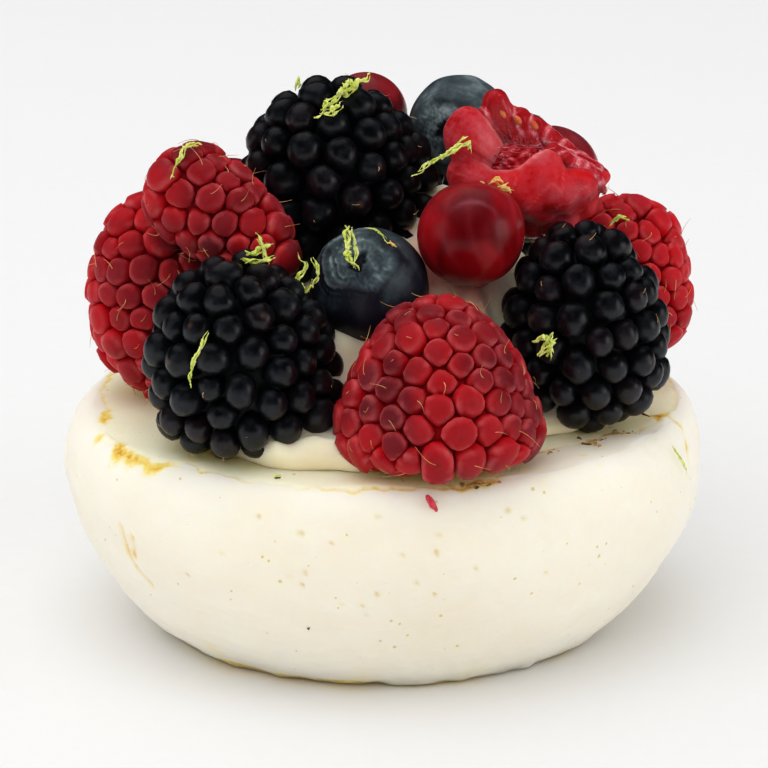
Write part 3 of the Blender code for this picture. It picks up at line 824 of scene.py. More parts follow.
def spread_drupelets(berry, vary, rng):
    """Places of the drupelets on a berry's skin, the skin's outward directions there, and their
    sizes. Rings lie RING_STEP apart down the outline, with 2 pi r / spacing places each, half a
    place turned from ring to ring and nudged at random. Then each pair that is closer than
    CLOSENESS allows pushes itself apart and goes back to the skin, PUSHES times."""
    fine = np.linspace(0.0, np.pi, 600)
    across, along = skin_at(fine, berry)
    walked = np.concatenate(((0.0,), np.cumsum(np.hypot(np.diff(across), np.diff(along)))))
    count = round(walked[-1] / (RING_STEP * berry.spacing))
    rings = np.interp((np.arange(count) + 0.3) * walked[-1] / count, walked, fine)
    places = []
    for index, ring in enumerate(rings):
        number = max(1, round(2 * np.pi * float(skin_at(ring, berry)[0]) / berry.spacing))
        nudge = 0.5 * (index % 2) + rng.normal(0, 0.20, number)
        around = 2 * np.pi * (np.arange(number) + nudge) / number
        places.append(np.stack((np.full(number, ring), around), 1))
    polar, turn = np.concatenate(places).T
    polar = polar + rng.normal(0.0, 0.04, len(polar))
    size = berry.spacing * (1.0 + vary * rng.uniform(-1.0, 1.0, len(polar)))
    for _ in range(PUSHES):
        place = on_skin(polar, turn, berry)
        gap = place[:, None] - place[None]
        away = np.linalg.norm(gap, axis=-1) + np.eye(len(place)) * 99.0
        missing = np.clip(CLOSENESS * (size[:, None] + size[None]) - away, 0.0, None)
        place = place + 0.3 * (gap / away[..., None] * missing[..., None]).sum(1)
        turn = np.arctan2(place[:, 1], place[:, 0])
        polar = np.arctan2(np.hypot(place[:, 0], place[:, 1]), place[:, 2])
    ahead, behind = skin_at(polar + 0.04, berry), skin_at(polar - 0.04, berry)
    slope = np.arctan2(ahead[0] - behind[0], -(ahead[1] - behind[1]))
    slope = np.where(polar < 0.06, np.pi / 2, slope)
    out = np.stack((np.cos(slope) * np.cos(turn), np.cos(slope) * np.sin(turn), np.sin(slope)), -1)
    place = on_skin(polar, turn, berry)
    return place, unit(0.8 * out + 0.2 * unit(place)), size


ROWS, SIDES = 9, 14               # rings and points to a ring of one drupelet


def drupelet_blobs(middles, out, across, tall, deep, press, spare, rows=ROWS, sides=SIDES):
    """A closed blob round each middle. In each direction d its reach is (e^-p + sum t^-p)^(-1/p):
    e is the ellipsoid with half widths `across`, `tall` along the berry and `deep` along `out`,
    and t is the way to the wall between it and each neighbour, which stands at their widths' share
    of the distance less `spare`. A high p = press makes flat faces and tight creases. The second
    result is how much the neighbours hold each point back."""
    rays = ball_rays(rows, sides, 1.2)
    side = unit(np.cross((0.02, 0.01, 1.0), out))
    up = np.cross(out, side)
    turned = (rays[:, 0, None] * side[:, None] + rays[:, 1, None] * up[:, None]
              + rays[:, 2, None] * out[:, None])
    halves = np.stack((across, tall, deep), -1)
    free = np.linalg.norm(rays[None] / halves[:, None], axis=-1) ** -1.0
    gap = middles[None] - middles[:, None]
    away = np.linalg.norm(gap, axis=-1) + np.eye(len(middles)) * 99.0
    wall = np.maximum(away * across[:, None] / (across[:, None] + across[None]) - spare, 0.1)
    facing = np.einsum("nmi,nki->nmk", turned, gap / away[..., None])
    held = (np.clip(facing, 0.0, None) / wall[:, None]) ** press
    held[np.broadcast_to((away > 4.0 * across.mean())[:, None], held.shape)] = 0.0
    reach = (free ** -press + held.sum(-1)) ** (-1.0 / press)
    return middles[:, None] + turned * reach[..., None], 1.0 - reach / free


def core_surface(berry, sunk, rows=24, sides=32):
    """The plain body inside a berry: its skin, drawn in everywhere by `sunk` mm."""
    rays = ball_rays(rows, sides)
    polar, turn = polar_and_turn(rays)
    skin = on_skin(polar, turn, berry)
    core = skin * (1.0 - sunk / np.linalg.norm(skin, axis=1, keepdims=True))
    return core, closed_faces(rows, sides)


def grow_berry(berry, habit, seed):
    """A whole berry in its own frame, tip up: drupelets on its skin, sunk so that their outer
    ends stand `bulge` proud of it, over a plain core. The lowest are flat where the berry rests,
    and some are dented or scarred at the outer end, where the style was. Returns points, faces,
    fields, and each drupelet's outer end and way out."""
    rng = np.random.default_rng(seed)
    skin, out, size = spread_drupelets(berry, habit.vary, rng)
    across, deep = habit.across * size, habit.deep * size
    out = unit(out + rng.normal(0.0, 0.08, out.shape))
    proud = habit.bulge * size + rng.normal(0.0, 0.05, len(skin)) * berry.spacing
    middles = skin + out * (proud - deep)[:, None]
    blobs, held = drupelet_blobs(
        middles, out, across, across * habit.tall, deep, habit.press, habit.spare * berry.spacing)
    blobs[..., 2] = np.maximum(blobs[..., 2], -berry.length / 2 - 0.1)
    dent = rng.uniform(0.0, 0.09, (len(skin), 1))
    blobs[:, 0] -= out * dent * (rng.random((len(skin), 1)) < 0.6)
    scar = np.zeros(held.shape)
    scar[:, 0] = 0.5 * (rng.random(len(skin)) < 0.2)
    # A berry's lift is partly ripeness, partly painted light for a berry that lies in shade.
    tone = np.repeat(rng.uniform(0.0, 1.0, len(skin)) + berry.shade, blobs.shape[1])
    tone = np.clip(tone, 0.0, 2.0)
    core, core_faces = core_surface(berry, habit.sunk * berry.spacing)
    points, faces = joined(copies(blobs, closed_faces(ROWS, SIDES)), (core, core_faces))
    # press, how hard the neighbours hold each point, paints the creases: painted shade on the
    # brambles, painted glow on the raspberries. pale, a thin line just off the creases, is a
    # painted highlight on the raspberries.
    press = np.clip(held.ravel() * 2.0, 0, 1)
    fields = {
        "tone": np.concatenate((tone, np.zeros(len(core)))),
        "press": np.concatenate((press, np.full(len(core), 0.3))),
        "pale": np.concatenate((0.70 * hump(press - 0.16, 0.12), np.zeros(len(core)))),
        "scar": np.concatenate((scar.ravel(), np.zeros(len(core)))),
    }
    return points, faces, fields, skin + out * proud[:, None], out


def set_down(points, berry, reference=None):
    """Turn points from a berry's own frame to its tip's direction and move them so that the box
    of `reference`, or else of the points, has its middle where the CAD piece has."""
    turn = turn_to(berry.tip)
    box = (points if reference is None else reference) @ turn.T
    return points @ turn.T + middle_of(berry.node) - (box.min(0) + box.max(0)) / 2


def threads(roots, ways, lengths, thickness, curl, seed):
    """Fine curved threads: the line root + way L s + sideways curl L s^2, with seven rings of
    three points whose radius thins to a third at the end."""
    rng = np.random.default_rng(seed)
    along = np.linspace(0.0, 1.0, 7)[None, :, None]
    side = unit(np.cross(ways, rng.normal(size=ways.shape)))
    reach = lengths[:, None, None]
    line = roots[:, None] + reach * (along * ways[:, None] + curl * along ** 2 * side[:, None])
    heading = unit(ways[:, None] + 2 * curl * along * side[:, None])
    across = unit(np.cross(heading, side[:, None]))
    other = -np.cross(heading, across)
    turn = 2 * np.pi * np.arange(3) / 3
    radius = thickness / 2 * (1.0 - 0.65 * along)
    rings = line[:, :, None] + radius[..., None] * (
        np.cos(turn)[:, None] * across[:, :, None] + np.sin(turn)[:, None] * other[:, :, None])
    count = len(roots)
    points = np.concatenate((line[:, :1], rings.reshape(count, -1, 3), line[:, -1:]), axis=1)
    return copies(points, closed_faces(7, 3))


def make_drupelet_berries():
    """All whole raspberries and brambles, with their dried styles: hairs that lie almost flat on
    the raspberries, and short stubs on the brambles."""
    grown = []
    for berries, habit, finish, slot, seed in (
            (RASPBERRIES, RASPBERRY_HABIT, RASPBERRY, "raspberry", 40),
            (BRAMBLES, BRAMBLE_HABIT, BRAMBLE, "bramble", 60)):
        styles = []
        for index, berry in enumerate(berries):
            points, faces, fields, ends, out = grow_berry(berry, habit, seed + index)
            make_piece(berry.node + "_drupelets", set_down(points, berry), faces, finish,
                       berry.node, fields)
            styles.append((set_down(ends, berry, points), out @ turn_to(berry.tip).T))
        grown.append([np.concatenate(part) for part in zip(*styles)])
    rng = np.random.default_rng(7)
    roots, ways = grown[0]
    chosen = rng.random(len(roots)) < 0.62
    roots, ways = roots[chosen], ways[chosen]
    lying = rng.normal(size=ways.shape)
    lying = unit(lying - ways * (lying * ways).sum(-1, keepdims=True))
    roots = roots - 0.05 * ways + 0.5 * lying * rng.random((len(roots), 1))
    lean = unit(lying + ways * rng.uniform(0.05, 0.50, (len(roots), 1)))
    lengths = rng.uniform(0.8, 2.3, len(roots))
    hairs = threads(roots, lean, lengths, thickness=0.11, curl=0.75, seed=8)
    roots, ways = grown[1]
    chosen = rng.random(len(roots)) < 0.30
    roots, ways = roots[chosen] - 0.1 * ways[chosen], ways[chosen]
    lean = unit(ways * 0.5 + rng.normal(0.0, 0.5, ways.shape))
    lengths = rng.uniform(0.4, 1.1, len(roots))
    stubs = threads(roots, lean, lengths, thickness=0.12, curl=0.6, seed=9)
    points, faces = joined(hairs, stubs)
    make_piece("dried_styles", points, faces, THREAD)


# --- Torn raspberry -------------------------------------------------------------------------

# Lobes of the torn raspberry: place from its middle and half width, in mm. First its left end
# and its front wall, which are whole, then its underside and back.
LOBES = (
    (-7.0, -2.9, 3.2, 2.2), (-6.6, -2.6, 4.4, 1.7), (-6.9, -3.2, 2.0, 2.0), (-5.2, -1.6, 3.4, 1.3),
    (-6.8, -3.4, -1.3, 2.1), (-5.5, -3.9, -2.2, 2.1), (-5.2, -2.2, 0.0, 1.3),
    (-2.9, -4.4, -3.0, 2.4), (-0.4, -4.7, -2.9, 2.7), (1.4, -4.6, -1.2, 2.4),
    (2.0, -4.2, 0.0, 1.6), (3.0, -4.6, -2.8, 2.4), (5.4, -3.4, -2.4, 2.1), (7.2, -2.3, -2.2, 1.3),
    (8.4, -1.8, -1.9, 0.6), (-1.6, -3.2, -4.6, 2.0), (1.2, -3.6, -4.7, 2.0),
    (4.0, -3.2, -4.4, 1.7), (6.2, -2.2, -3.8, 1.5), (-0.3, -0.6, -5.2, 2.3),
    (3.2, -0.6, -5.0, 2.2), (-3.5, 3.2, 0.2, 2.3), (-0.1, 3.8, -1.0, 2.4), (3.2, 3.0, -2.6, 2.2),
    (5.8, 1.4, -3.0, 1.8), (-5.2, 1.2, 1.6, 2.1), (-3.8, 0.6, -3.0, 2.5), (0.0, 2.2, -3.6, 2.5),
    (3.6, 1.8, -3.8, 2.2), (0.5, 0.0, -2.0, 3.0), (3.4, -1.6, -6.6, 2.3), (0.4, -1.2, -6.8, 2.2),
    (6.0, -1.4, -5.0, 1.7),
)
# The hollow that the tear opened: its middle and its half widths
HOLLOW = ((-1.6, -1.9, 1.6), (3.7, 3.0, 2.6))
NO_HOLLOW = ((0.0, 0.0, -40.0), (1.0, 1.0, 1.0))
# Cells laid open by the tear: place, half width, half length, and the way they stretch
CELLS = (
    (-3.7, 0.2, 4.4, 1.5, 2.5, (0.15, 0.0, 1.0)), (-4.6, -0.4, 3.0, 1.0, 2.2, (-0.45, -0.2, 1.0)),
    (-2.0, 0.4, 3.4, 1.1, 2.2, (-0.4, 0.1, 1.0)), (-0.3, 0.6, 3.0, 1.15, 2.0, (-0.45, 0.1, 1.0)),
    (1.5, 0.5, 2.2, 1.1, 1.7, (-0.55, 0.1, 0.9)), (3.1, 0.2, 1.1, 1.05, 1.6, (-0.65, 0.1, 0.8)),
    (4.7, -0.2, 0.0, 1.0, 1.5, (-0.8, 0.0, 0.6)), (6.2, -0.8, -0.9, 0.9, 1.4, (-0.9, 0.0, 0.4)),
    (7.5, -1.4, -1.6, 0.75, 1.2, (-0.9, 0.0, 0.3)), (3.4, -1.9, 0.5, 0.85, 1.7, (-0.9, -0.1, 0.6)),
    (4.9, -2.9, -0.5, 0.8, 1.8, (-0.85, 0.0, 0.6)), (6.3, -3.0, -1.2, 0.8, 1.7, (-0.9, 0.0, 0.5)),
    (6.2, -1.9, -0.7, 0.75, 1.5, (-0.9, 0.0, 0.5)), (7.3, -3.0, -2.4, 0.7, 1.5, (-0.7, 0.0, 0.8)),
    (5.6, -4.3, -2.4, 0.75, 1.6, (-0.6, 0.0, 0.9)),
)
# Pips in the open cells: place from the middle, and the way each lies
PIPS = (
    (-2.8, -0.85, 4.9, (-0.6, 0.0, 1.0)), (-1.1, -0.6, 4.1, (-0.8, 0.0, 1.0)),
    (0.7, -0.45, 3.5, (-0.8, 0.0, 1.0)), (-0.6, -2.3, -0.9, (1.0, 0.0, 0.3)),
    (-2.6, -2.5, -1.0, (0.6, 0.0, 0.3)),
)
STRANDS = 46                      # across the hollow
FARTHEST = 13.0                   # no point of the torn raspberry is farther from a start
STRIDE = 0.25                     # of the walk along a ray


def joined_lobes(points, lobes, hollow, soft):
    """How far points lie outside the lobes, in mm: -soft log sum e^(-d / soft), with d the way to
    each lobe's ball, so the lobes run together, and cut off where they reach into the hollow.
    The second result is the way to the hollow's wall."""
    middles, halves = lobes[:, :3], lobes[:, 3]
    away = (points ** 2).sum(-1)[:, None] - 2.0 * points @ middles.T + (middles ** 2).sum(-1)
    away = np.sqrt(np.maximum(away, 0.0)) - halves
    outside = -soft * np.log(np.exp(-away / soft).sum(-1))
    middle, half = np.array(hollow)
    wall = (np.linalg.norm((points - middle) / half, axis=-1) - 1.0) * half.min()
    return np.maximum(outside, -wall), wall


def wrap(lobes, hollow, start, soft, rows=130, sides=190):
    """A surface round the joined lobes: each ray from `start` is walked inwards from FARTHEST in
    steps of STRIDE to the first point that is not outside, and that step is then halved six
    times. Points and faces of rays that meet nothing are left out. The third result is the way
    to the hollow's wall."""
    rays = ball_rays(rows, sides)
    reach = np.zeros(len(rays))
    found = np.zeros(len(rays), bool)
    for far in np.arange(FARTHEST, 0.2, -STRIDE):
        inside = joined_lobes(start + rays * far, lobes, hollow, soft)[0] < 0.0
        reach[inside & ~found] = far
        found |= inside
    step = STRIDE / 2
    for _ in range(6):
        farther = start + rays * (reach + step)[:, None]
        outside = joined_lobes(farther, lobes, hollow, soft)[0] > 0.0
        reach = np.where(outside, reach, reach + step)
        step = step / 2
    points = (start + rays * reach[:, None])[found]
    index = np.cumsum(found) - 1
    faces = [index[kind[found[kind].all(1)]] for kind in closed_faces(rows, sides)]
    return points, faces, joined_lobes(points, lobes, hollow, soft)[1]


def make_torn_skin(middle):
    """Skin of the torn raspberry: soft lobes that run together, with the hollow torn into them.
    It is pale along the tear and in thin seams where drupelets met."""
    start = np.array((0.0, 0.3, -3.4))
    points, faces, wall = wrap(np.array(LOBES), HOLLOW, start, soft=0.30)
    way = unit(points - start)
    torn = hump(wall - 0.2, 0.60)
    seam = 0.5 * hump(ripples(points * (1.0, 1.0, 0.7), 3.6, 43), 0.06) * (1.0 - hump(wall, 2.0))
    tooth = 0.05 * ripples(points, 1.5, 34) + torn * 0.12 * ripples(points, 0.7, 36)
    points = points + tooth[:, None] * way
    fields = {
        "tone": 0.6 + 0.35 * ripples(points, 6.0, 35),
        # press paints a purer red as painted glow, in soft patches and near the hollow's wall.
        "press": 0.5 * ease(ripples(points, 5.0, 42) * 0.8) + 0.3 * hump(wall, 0.9),
        "pale": np.clip(torn * (1.7 + 0.7 * ripples(points, 0.9, 37)) + seam, 0, 2.0),
        "scar": np.zeros(len(points)),
    }
    make_piece("torn_raspberry_skin", points + middle, faces, TORN_SKIN,
               "raspberry_torn", fields)


def make_torn_flesh(middle):
    """Inside of the torn raspberry: open cells, a stringy bed in the hollow, strands across it
    and thin membranes along the cells. The cells are lines of three balls that run together, and
    where two cells meet, the wall between them stands up as a pale membrane."""
    rng = np.random.default_rng(31)
    cells = np.array([cell[:5] for cell in CELLS])
    long_way = unit(np.array([cell[5] for cell in CELLS]))
    along = np.array((-0.6, 0.0, 0.6))[None, :, None] * (long_way * cells[:, 4:5])[:, None]
    ball_middles = (cells[:, None, :3] + along).reshape(-1, 3)
    balls = np.column_stack((ball_middles, np.repeat(cells[:, 3], 3)))
    cell_start = np.array((0.8, 1.0, -2.6))
    cell_points, cell_faces, _ = wrap(balls, NO_HOLLOW, cell_start, soft=0.22)
    away = np.linalg.norm(cell_points[:, None] - balls[None, :, :3], axis=-1) - balls[:, 3]
    away = np.sort(away.reshape(len(cell_points), -1, 3).min(-1), axis=1)
    meeting = hump(away[:, 1] - away[:, 0], 0.30)
    lift = 0.22 * meeting + 0.06 * ripples(cell_points, 1.3, 39)
    cell_points = cell_points + unit(cell_points - cell_start) * lift[:, None]
    fibres = np.abs(ripples(cell_points * (1.0, 1.0, 0.35), 1.2, 38))
    bed_rows, bed_sides = 60, 90
    rays = ball_rays(bed_rows, bed_sides)
    string = ripples(rays * (1.0, 1.0, 2.0), 0.30, 32) + 0.6 * ripples(rays, 0.16, 33)
    bed = rays * (3.9, 2.8, 2.3) * (1.0 + 0.09 * string[:, None]) + (-1.4, -1.2, -0.9)
    turn = rng.uniform(0.0, 2 * np.pi, STRANDS)
    up = rng.uniform(-0.6, 1.8, STRANDS)
    roots = np.stack((-1.6 + 3.2 * np.cos(turn), -1.7 + 2.2 * np.sin(turn), up), -1)
    ways = unit(np.array((-1.4, -1.6, -0.8)) + rng.normal(0.0, 1.3, roots.shape) - roots)
    lengths = rng.uniform(1.6, 4.2, STRANDS)
    strands, strand_faces = threads(roots, ways, lengths, thickness=0.26, curl=0.5, seed=41)
    which = np.repeat(np.arange(len(cells)), 3)
    front = rng.uniform(-0.75, 0.75, len(which))
    roots = cells[which, :3] - long_way[which] * (0.75 * cells[which, 4:5])
    forward = np.stack((front, -np.sqrt(1.0 - front ** 2), 0.0 * front), -1)
    roots = roots + cells[which, 3:4] * forward
    lengths = 1.5 * cells[which, 4]
    streaks, streak_faces = threads(
        roots, long_way[which], lengths, thickness=0.20, curl=0.12, seed=44)
    points, faces = joined((cell_points, cell_faces), (bed, closed_faces(bed_rows, bed_sides)),
                           (strands, strand_faces), (streaks, streak_faces))
    pale = np.concatenate((
        0.10 + 0.85 * meeting + 0.35 * hump(fibres, 0.10), 0.42 + 0.35 * string,
        rng.uniform(0.4, 1.1, len(strands)), rng.uniform(0.3, 0.8, len(streaks))))
    make_piece("torn_raspberry_flesh", points + middle, faces, FLESH, None,
               {"pale": np.clip(pale, 0.0, 1.5)})


def make_pips(middle):
    """The torn raspberry's pips: one small blob each, with no neighbour to press on."""
    pips = np.array([pip[:3] for pip in PIPS])
    ways = unit(np.array([pip[3] for pip in PIPS]))
    count = np.ones(len(pips))
    blobs, _ = drupelet_blobs(pips, ways, across=0.42 * count, tall=0.36 * count,
                              deep=0.62 * count, press=8.0, spare=0.0)
    points, faces = copies(blobs + middle, closed_faces(ROWS, SIDES))
    make_piece("raspberry_pips", points, faces, PIP)


# --- Smooth fruit ---------------------------------------------------------------------------

def make_blueberry(berry, seed):
    """A blueberry: an ellipsoid with a shallow bowl at the flower end inside a torn ring. Ring
    and bowl edge are humps at the polar angle `rim`, broken up by ripples; thinner ridges run
    beside them, mostly on one side, and a ragged pit is in the middle. The wax is lighter towards
    the top: partly thicker bloom, partly painted highlight."""
    rows, sides = 150, 200
    rays = ball_rays(rows, sides, 1.35)
    polar, turn = polar_and_turn(rays)
    rng = np.random.default_rng(seed)
    phase = rng.uniform(0, 2 * np.pi, 10)
    frayed = 0.5 * ripples(rays, 0.09, seed + 1) + 0.5 * ripples(rays, 0.22, seed + 2)
    rim = np.radians(36.0 + 3.0 * np.sin(2 * turn + phase[2]) + 2.2 * np.sin(5 * turn + phase[3]))
    rim = rim + 0.016 * frayed
    inside = 1.0 - ease((polar - rim + 0.14) / 0.18)
    ridges = np.zeros(len(rays))
    for index, away in enumerate((-0.22, -0.12, 0.0, 0.10, 0.21)):
        part = 0.25 + 0.75 * np.cos(turn - math.radians(200) + 0.3 * index)
        part = part + 0.35 * np.sin(turn * (2 + index) + phase[4 + index]) + 0.5 * frayed
        height = hump(polar - rim - away, 0.026) * (1.0 if away == 0.0 else 0.6)
        ridges = ridges + np.clip(part, 0, 1.2) * height
    ridges = ridges * berry.mark
    star = 0.15 + 0.03 * np.cos(5 * turn) + 0.05 * np.sin(2 * turn + phase[0]) + 0.05 * frayed
    pit = 1.0 - ease((polar - star + 0.07) / 0.14)
    lift = 0.26 * ridges + 0.22 * berry.mark * hump(polar - rim, 0.12) - 0.55 * inside - 0.5 * pit
    lift = lift + 0.06 * ripples(rays, 0.5, seed + 3) + 0.03 * frayed * inside
    ball = rays * (berry.width / 2, berry.width / 2, berry.length / 2)
    points = ball + rays * lift[:, None]
    placed = set_down(points, berry, ball)
    up = (placed[:, 2] - middle_of(berry.node)[2]) / (berry.width / 2)
    # The wax grows towards the top: partly thicker bloom, partly painted highlight.
    wax = berry.bloom + 0.16 * ripples(rays, 0.9, seed + 4) + 0.60 * ridges + 0.26 * ease(up)
    wax = wax + inside * (0.36 + 0.22 * frayed) - 0.7 * pit + 0.16 * hump(polar - rim - 0.26, 0.20)
    make_piece(berry.node + "_skin", placed, closed_faces(rows, sides), BLUEBERRY,
               berry.node, {"wax": np.clip(wax, 0.02, 1.5)})


# The painted highlight arc of a redcurrant: part of a circle round an axis, the way to the
# camera, at an angle from it
HIGHLIGHT_AXIS = np.array((0.0, -0.954, 0.30))
HIGHLIGHT_ANGLE = 0.58


def make_redcurrant(berry, seed):
    """A redcurrant: a ball, a little flat at both poles, with a dimple at the stalk and the
    withered flower's knob at the tip. Twelve faint meridian lines run from pole to pole. The
    bloom grows towards the top, partly as painted highlight, and a short painted highlight arc
    runs round HIGHLIGHT_AXIS, the way to the camera, on the upper side."""
    rows, sides = 60, 96
    rays = ball_rays(rows, sides)
    polar, turn = polar_and_turn(rays)
    lift = 0.10 * ripples(rays, 1.6, seed) - 0.5 * hump(np.pi - polar, 0.16)
    lift = lift + 0.35 * hump(polar, 0.13) - 0.25 * hump(polar, 0.32)
    points = rays * (berry.width / 2, berry.width / 2, berry.length / 2) + rays * lift[:, None]
    line = np.abs(np.cos(6 * turn + 0.5 * np.sin(polar * 3))) ** 14 * np.sin(polar) ** 2
    placed = set_down(points, berry)
    up = (placed[:, 2] - middle_of(berry.node)[2]) / (berry.width / 2)
    way = unit(placed - middle_of(berry.node))
    arc = hump(np.arccos(np.clip(way @ HIGHLIGHT_AXIS, -1, 1)) - HIGHLIGHT_ANGLE, 0.045)
    arc = arc * hump(way[:, 0] - 0.04, 0.30) * (up > 0.4)
    # The upper side's mauve is partly bloom, partly painted highlight; the arc is a painted
    # highlight.
    bloom_and_highlight = berry.bloom * ease((up + 0.1) / 0.9) + berry.mark * arc
    bloom_and_highlight = bloom_and_highlight + 0.10 * ripples(rays, 0.6, seed + 1)
    make_piece(berry.node + "_skin", placed, closed_faces(rows, sides), REDCURRANT,
               berry.node, {"vein": 0.07 * line, "bloom_and_highlight": np.clip(bloom_and_highlight, 0.0, 1.0)})


# --- Zest -----------------------------------------------------------------------------------

# Each shred of lime: places in mm that it passes through, width, twist in turns
SHREDS = (
    (((-7.4, -4.6, 57.3), (-6.2, -3.6, 58.6), (-4.8, -2.2, 59.4), (-3.4, -1.0, 59.9),
      (-1.6, 0.6, 61.0)), 1.3, 1.6),
    (((-5.6, -3.6, 58.8), (-4.6, -3.0, 60.2), (-3.6, -1.4, 60.6), (-3.0, -0.4, 59.6)), 1.1, 2.0),
    (((-6.6, -4.6, 58.0), (-5.4, -4.2, 58.2), (-4.4, -3.0, 59.0)), 0.9, 1.2),
    (((-9.6, 2.6, 59.0), (-9.3, 2.8, 60.4)), 0.7, 0.5),
    (((-22.6, -10.8, 52.3), (-21.9, -9.8, 54.0), (-20.8, -8.4, 55.2),
      (-19.6, -7.4, 55.2)), 0.9, 1.2),
    (((-14.4, -18.4, 46.0), (-13.0, -18.6, 46.4), (-11.8, -18.4, 47.6)), 1.1, 1.5),
    (((-15.0, -18.8, 45.4), (-13.4, -19.2, 45.4), (-11.4, -18.6, 45.8)), 0.9, 1.0),
    (((-13.4, -18.6, 48.4), (-12.6, -18.6, 47.0), (-12.2, -18.8, 45.2)), 0.8, 1.2),
    (((-9.2, -16.6, 45.6), (-8.2, -17.0, 44.2), (-9.2, -17.4, 42.8), (-8.2, -17.6, 41.6),
      (-7.4, -17.0, 43.2)), 0.9, 1.0),
    (((-7.4, -16.8, 45.4), (-7.0, -17.2, 43.6), (-7.6, -17.6, 42.2)), 0.7, 0.8),
    (((-18.0, -28.2, 40.4), (-18.9, -28.4, 38.6), (-19.7, -28.6, 36.8),
      (-19.9, -28.4, 34.4)), 0.7, 1.5),
    (((-4.3, -12.5, 47.5), (-3.8, -14.0, 46.9), (-3.9, -15.6, 45.1),
      (-2.8, -16.4, 43.5)), 1.0, 1.8),
    (((-3.4, -13.4, 47.6), (-3.0, -15.2, 46.0), (-3.2, -16.4, 44.0)), 0.6, 1.0),
    (((-2.0, -13.0, 47.5), (-0.6, -13.6, 47.2), (0.5, -14.4, 46.2)), 0.4, 0.6),
    (((3.2, -6.8, 51.4), (4.7, -6.6, 52.8), (6.3, -6.5, 53.6), (7.9, -6.3, 54.8),
      (8.9, -6.1, 55.8)), 0.9, 2.2),
    (((6.7, -6.7, 53.8), (7.7, -6.7, 54.6), (9.1, -6.4, 55.2), (9.2, -6.4, 54.1)), 1.0, 1.0),
    (((-11.6, -29.4, 25.1), (-11.1, -29.3, 25.4), (-10.6, -29.2, 25.2)), 0.5, 0.4),
    (((24.6, 0.6, 44.2), (25.8, 0.4, 44.9), (27.0, 0.6, 44.8)), 0.7, 0.8),
    (((15.6, -20.2, 37.0), (16.6, -20.6, 37.6), (17.6, -20.8, 36.8),
      (17.2, -20.8, 35.2)), 1.1, 1.4),
    (((16.2, -20.4, 35.6), (17.0, -20.8, 36.6), (18.2, -20.6, 37.6)), 1.0, 1.0),
    (((17.8, -20.8, 38.2), (17.2, -20.8, 37.2), (17.8, -20.6, 36.0)), 0.8, 0.8),
    (((30.9, -14.6, 23.9), (32.0, -14.4, 22.0), (33.3, -12.9, 19.2)), 0.4, 0.4),
)
# Orange tuft that rests on the redcurrant and the torn raspberry
TUFT = (
    (((10.0, -9.4, 51.6), (11.2, -9.8, 51.0), (12.4, -9.6, 51.0)), 0.95, 1.0),
    (((10.9, -10.0, 51.0), (12.0, -9.2, 51.8), (13.4, -8.8, 50.6)), 0.85, 1.2),
    (((11.6, -9.6, 50.2), (12.6, -9.6, 51.2), (13.8, -9.0, 50.0)), 0.85, 0.8),
    (((11.0, -9.6, 50.4), (12.2, -10.0, 50.4), (13.2, -9.4, 51.4)), 0.85, 0.8),
    (((0.7, -14.0, 46.3), (1.3, -14.2, 45.8)), 0.9, 0.3),
)


def smooth_path(places, count):
    """A smooth line through the places: on each stretch the cubic whose slope at a place is half
    the step between its neighbours."""
    places = np.array(places, float)
    held = np.concatenate((2 * places[:1] - places[1:2], places, 2 * places[-1:] - places[-2:-1]))
    at = np.linspace(0.0, len(places) - 1.0001, count)
    first = at.astype(int)
    s = (at - first)[:, None]
    before, start, end, after = (held[first + k] for k in range(4))
    slope, next_slope = (end - before) / 2, (after - start) / 2
    return ((2 * s ** 3 - 3 * s ** 2 + 1) * start + (s ** 3 - 2 * s ** 2 + s) * slope
            + (3 * s ** 2 - 2 * s ** 3) * end + (s ** 3 - s ** 2) * next_slope)


def make_shreds(name, shreds, finish, seed, strands=3):
    """Shreds of peel: each is a few torn ribbons that run along one smooth line and wander about
    it by up to a third of its width. A ribbon is a flat oval section that turns as it goes, and
    its width is torn by ripples and narrows to both ends."""
    surfaces = []
    for index, (places, width, twist) in enumerate(shreds):
        rng = np.random.default_rng(seed + index)
        length = np.linalg.norm(np.diff(np.array(places), axis=0), axis=1).sum()
        rows, sides = max(14, int(length * 9)), 8
        for strand in range(strands):
            key = seed + 10 * index + strand
            cut = rng.uniform(0.0, 0.25, 2) if strand else (0.0, 0.0)
            share = np.linspace(cut[0], 1.0 - cut[1], rows)
            steps = np.linspace(0.0, 1.0, 160)
            line = smooth_path(places, 160)
            line = np.stack([np.interp(share, steps, line[:, k]) for k in range(3)], -1)
            wander = np.stack([ripples(line, 1.6, key + k) for k in (500, 600, 700)], -1)
            line = line + 0.34 * width * wander
            heading = unit(np.gradient(line, axis=0))
            side = unit(np.cross(heading, (0.3, 0.9, 0.2)))
            up = -np.cross(heading, side)
            torn = 0.75 + 0.35 * ripples(line, 0.8, key + 800)
            torn = torn + 0.25 * ripples(line, 0.35, key + 900)
            ends = np.sin(np.pi * np.linspace(0.04, 0.96, rows)) ** 0.5
            half = 0.24 * (width + 0.15) * np.clip(torn, 0.30, 1.5) * ends
            turn = 2 * np.pi * np.arange(sides) / sides
            spin = 2 * np.pi * twist * share + rng.uniform(0, 6)
            wide, thick = half[:, None] * np.cos(turn), 0.38 * half[:, None] * np.sin(turn)
            x = wide * np.cos(spin)[:, None] - thick * np.sin(spin)[:, None]
            y = wide * np.sin(spin)[:, None] + thick * np.cos(spin)[:, None]
            section = x[..., None] * side[:, None] + y[..., None] * up[:, None]
            rings = line[:, None] + section
            rings = rings + 0.3 * ripples(rings, 0.45, key)[..., None] * section
            surfaces.append((closed_points(line[0], rings, line[-1]), closed_faces(rows, sides)))
    points, faces = joined(*surfaces)
    make_piece(name, points, faces, finish)


# --- Crumbs and flecks ----------------------------------------------------------------------

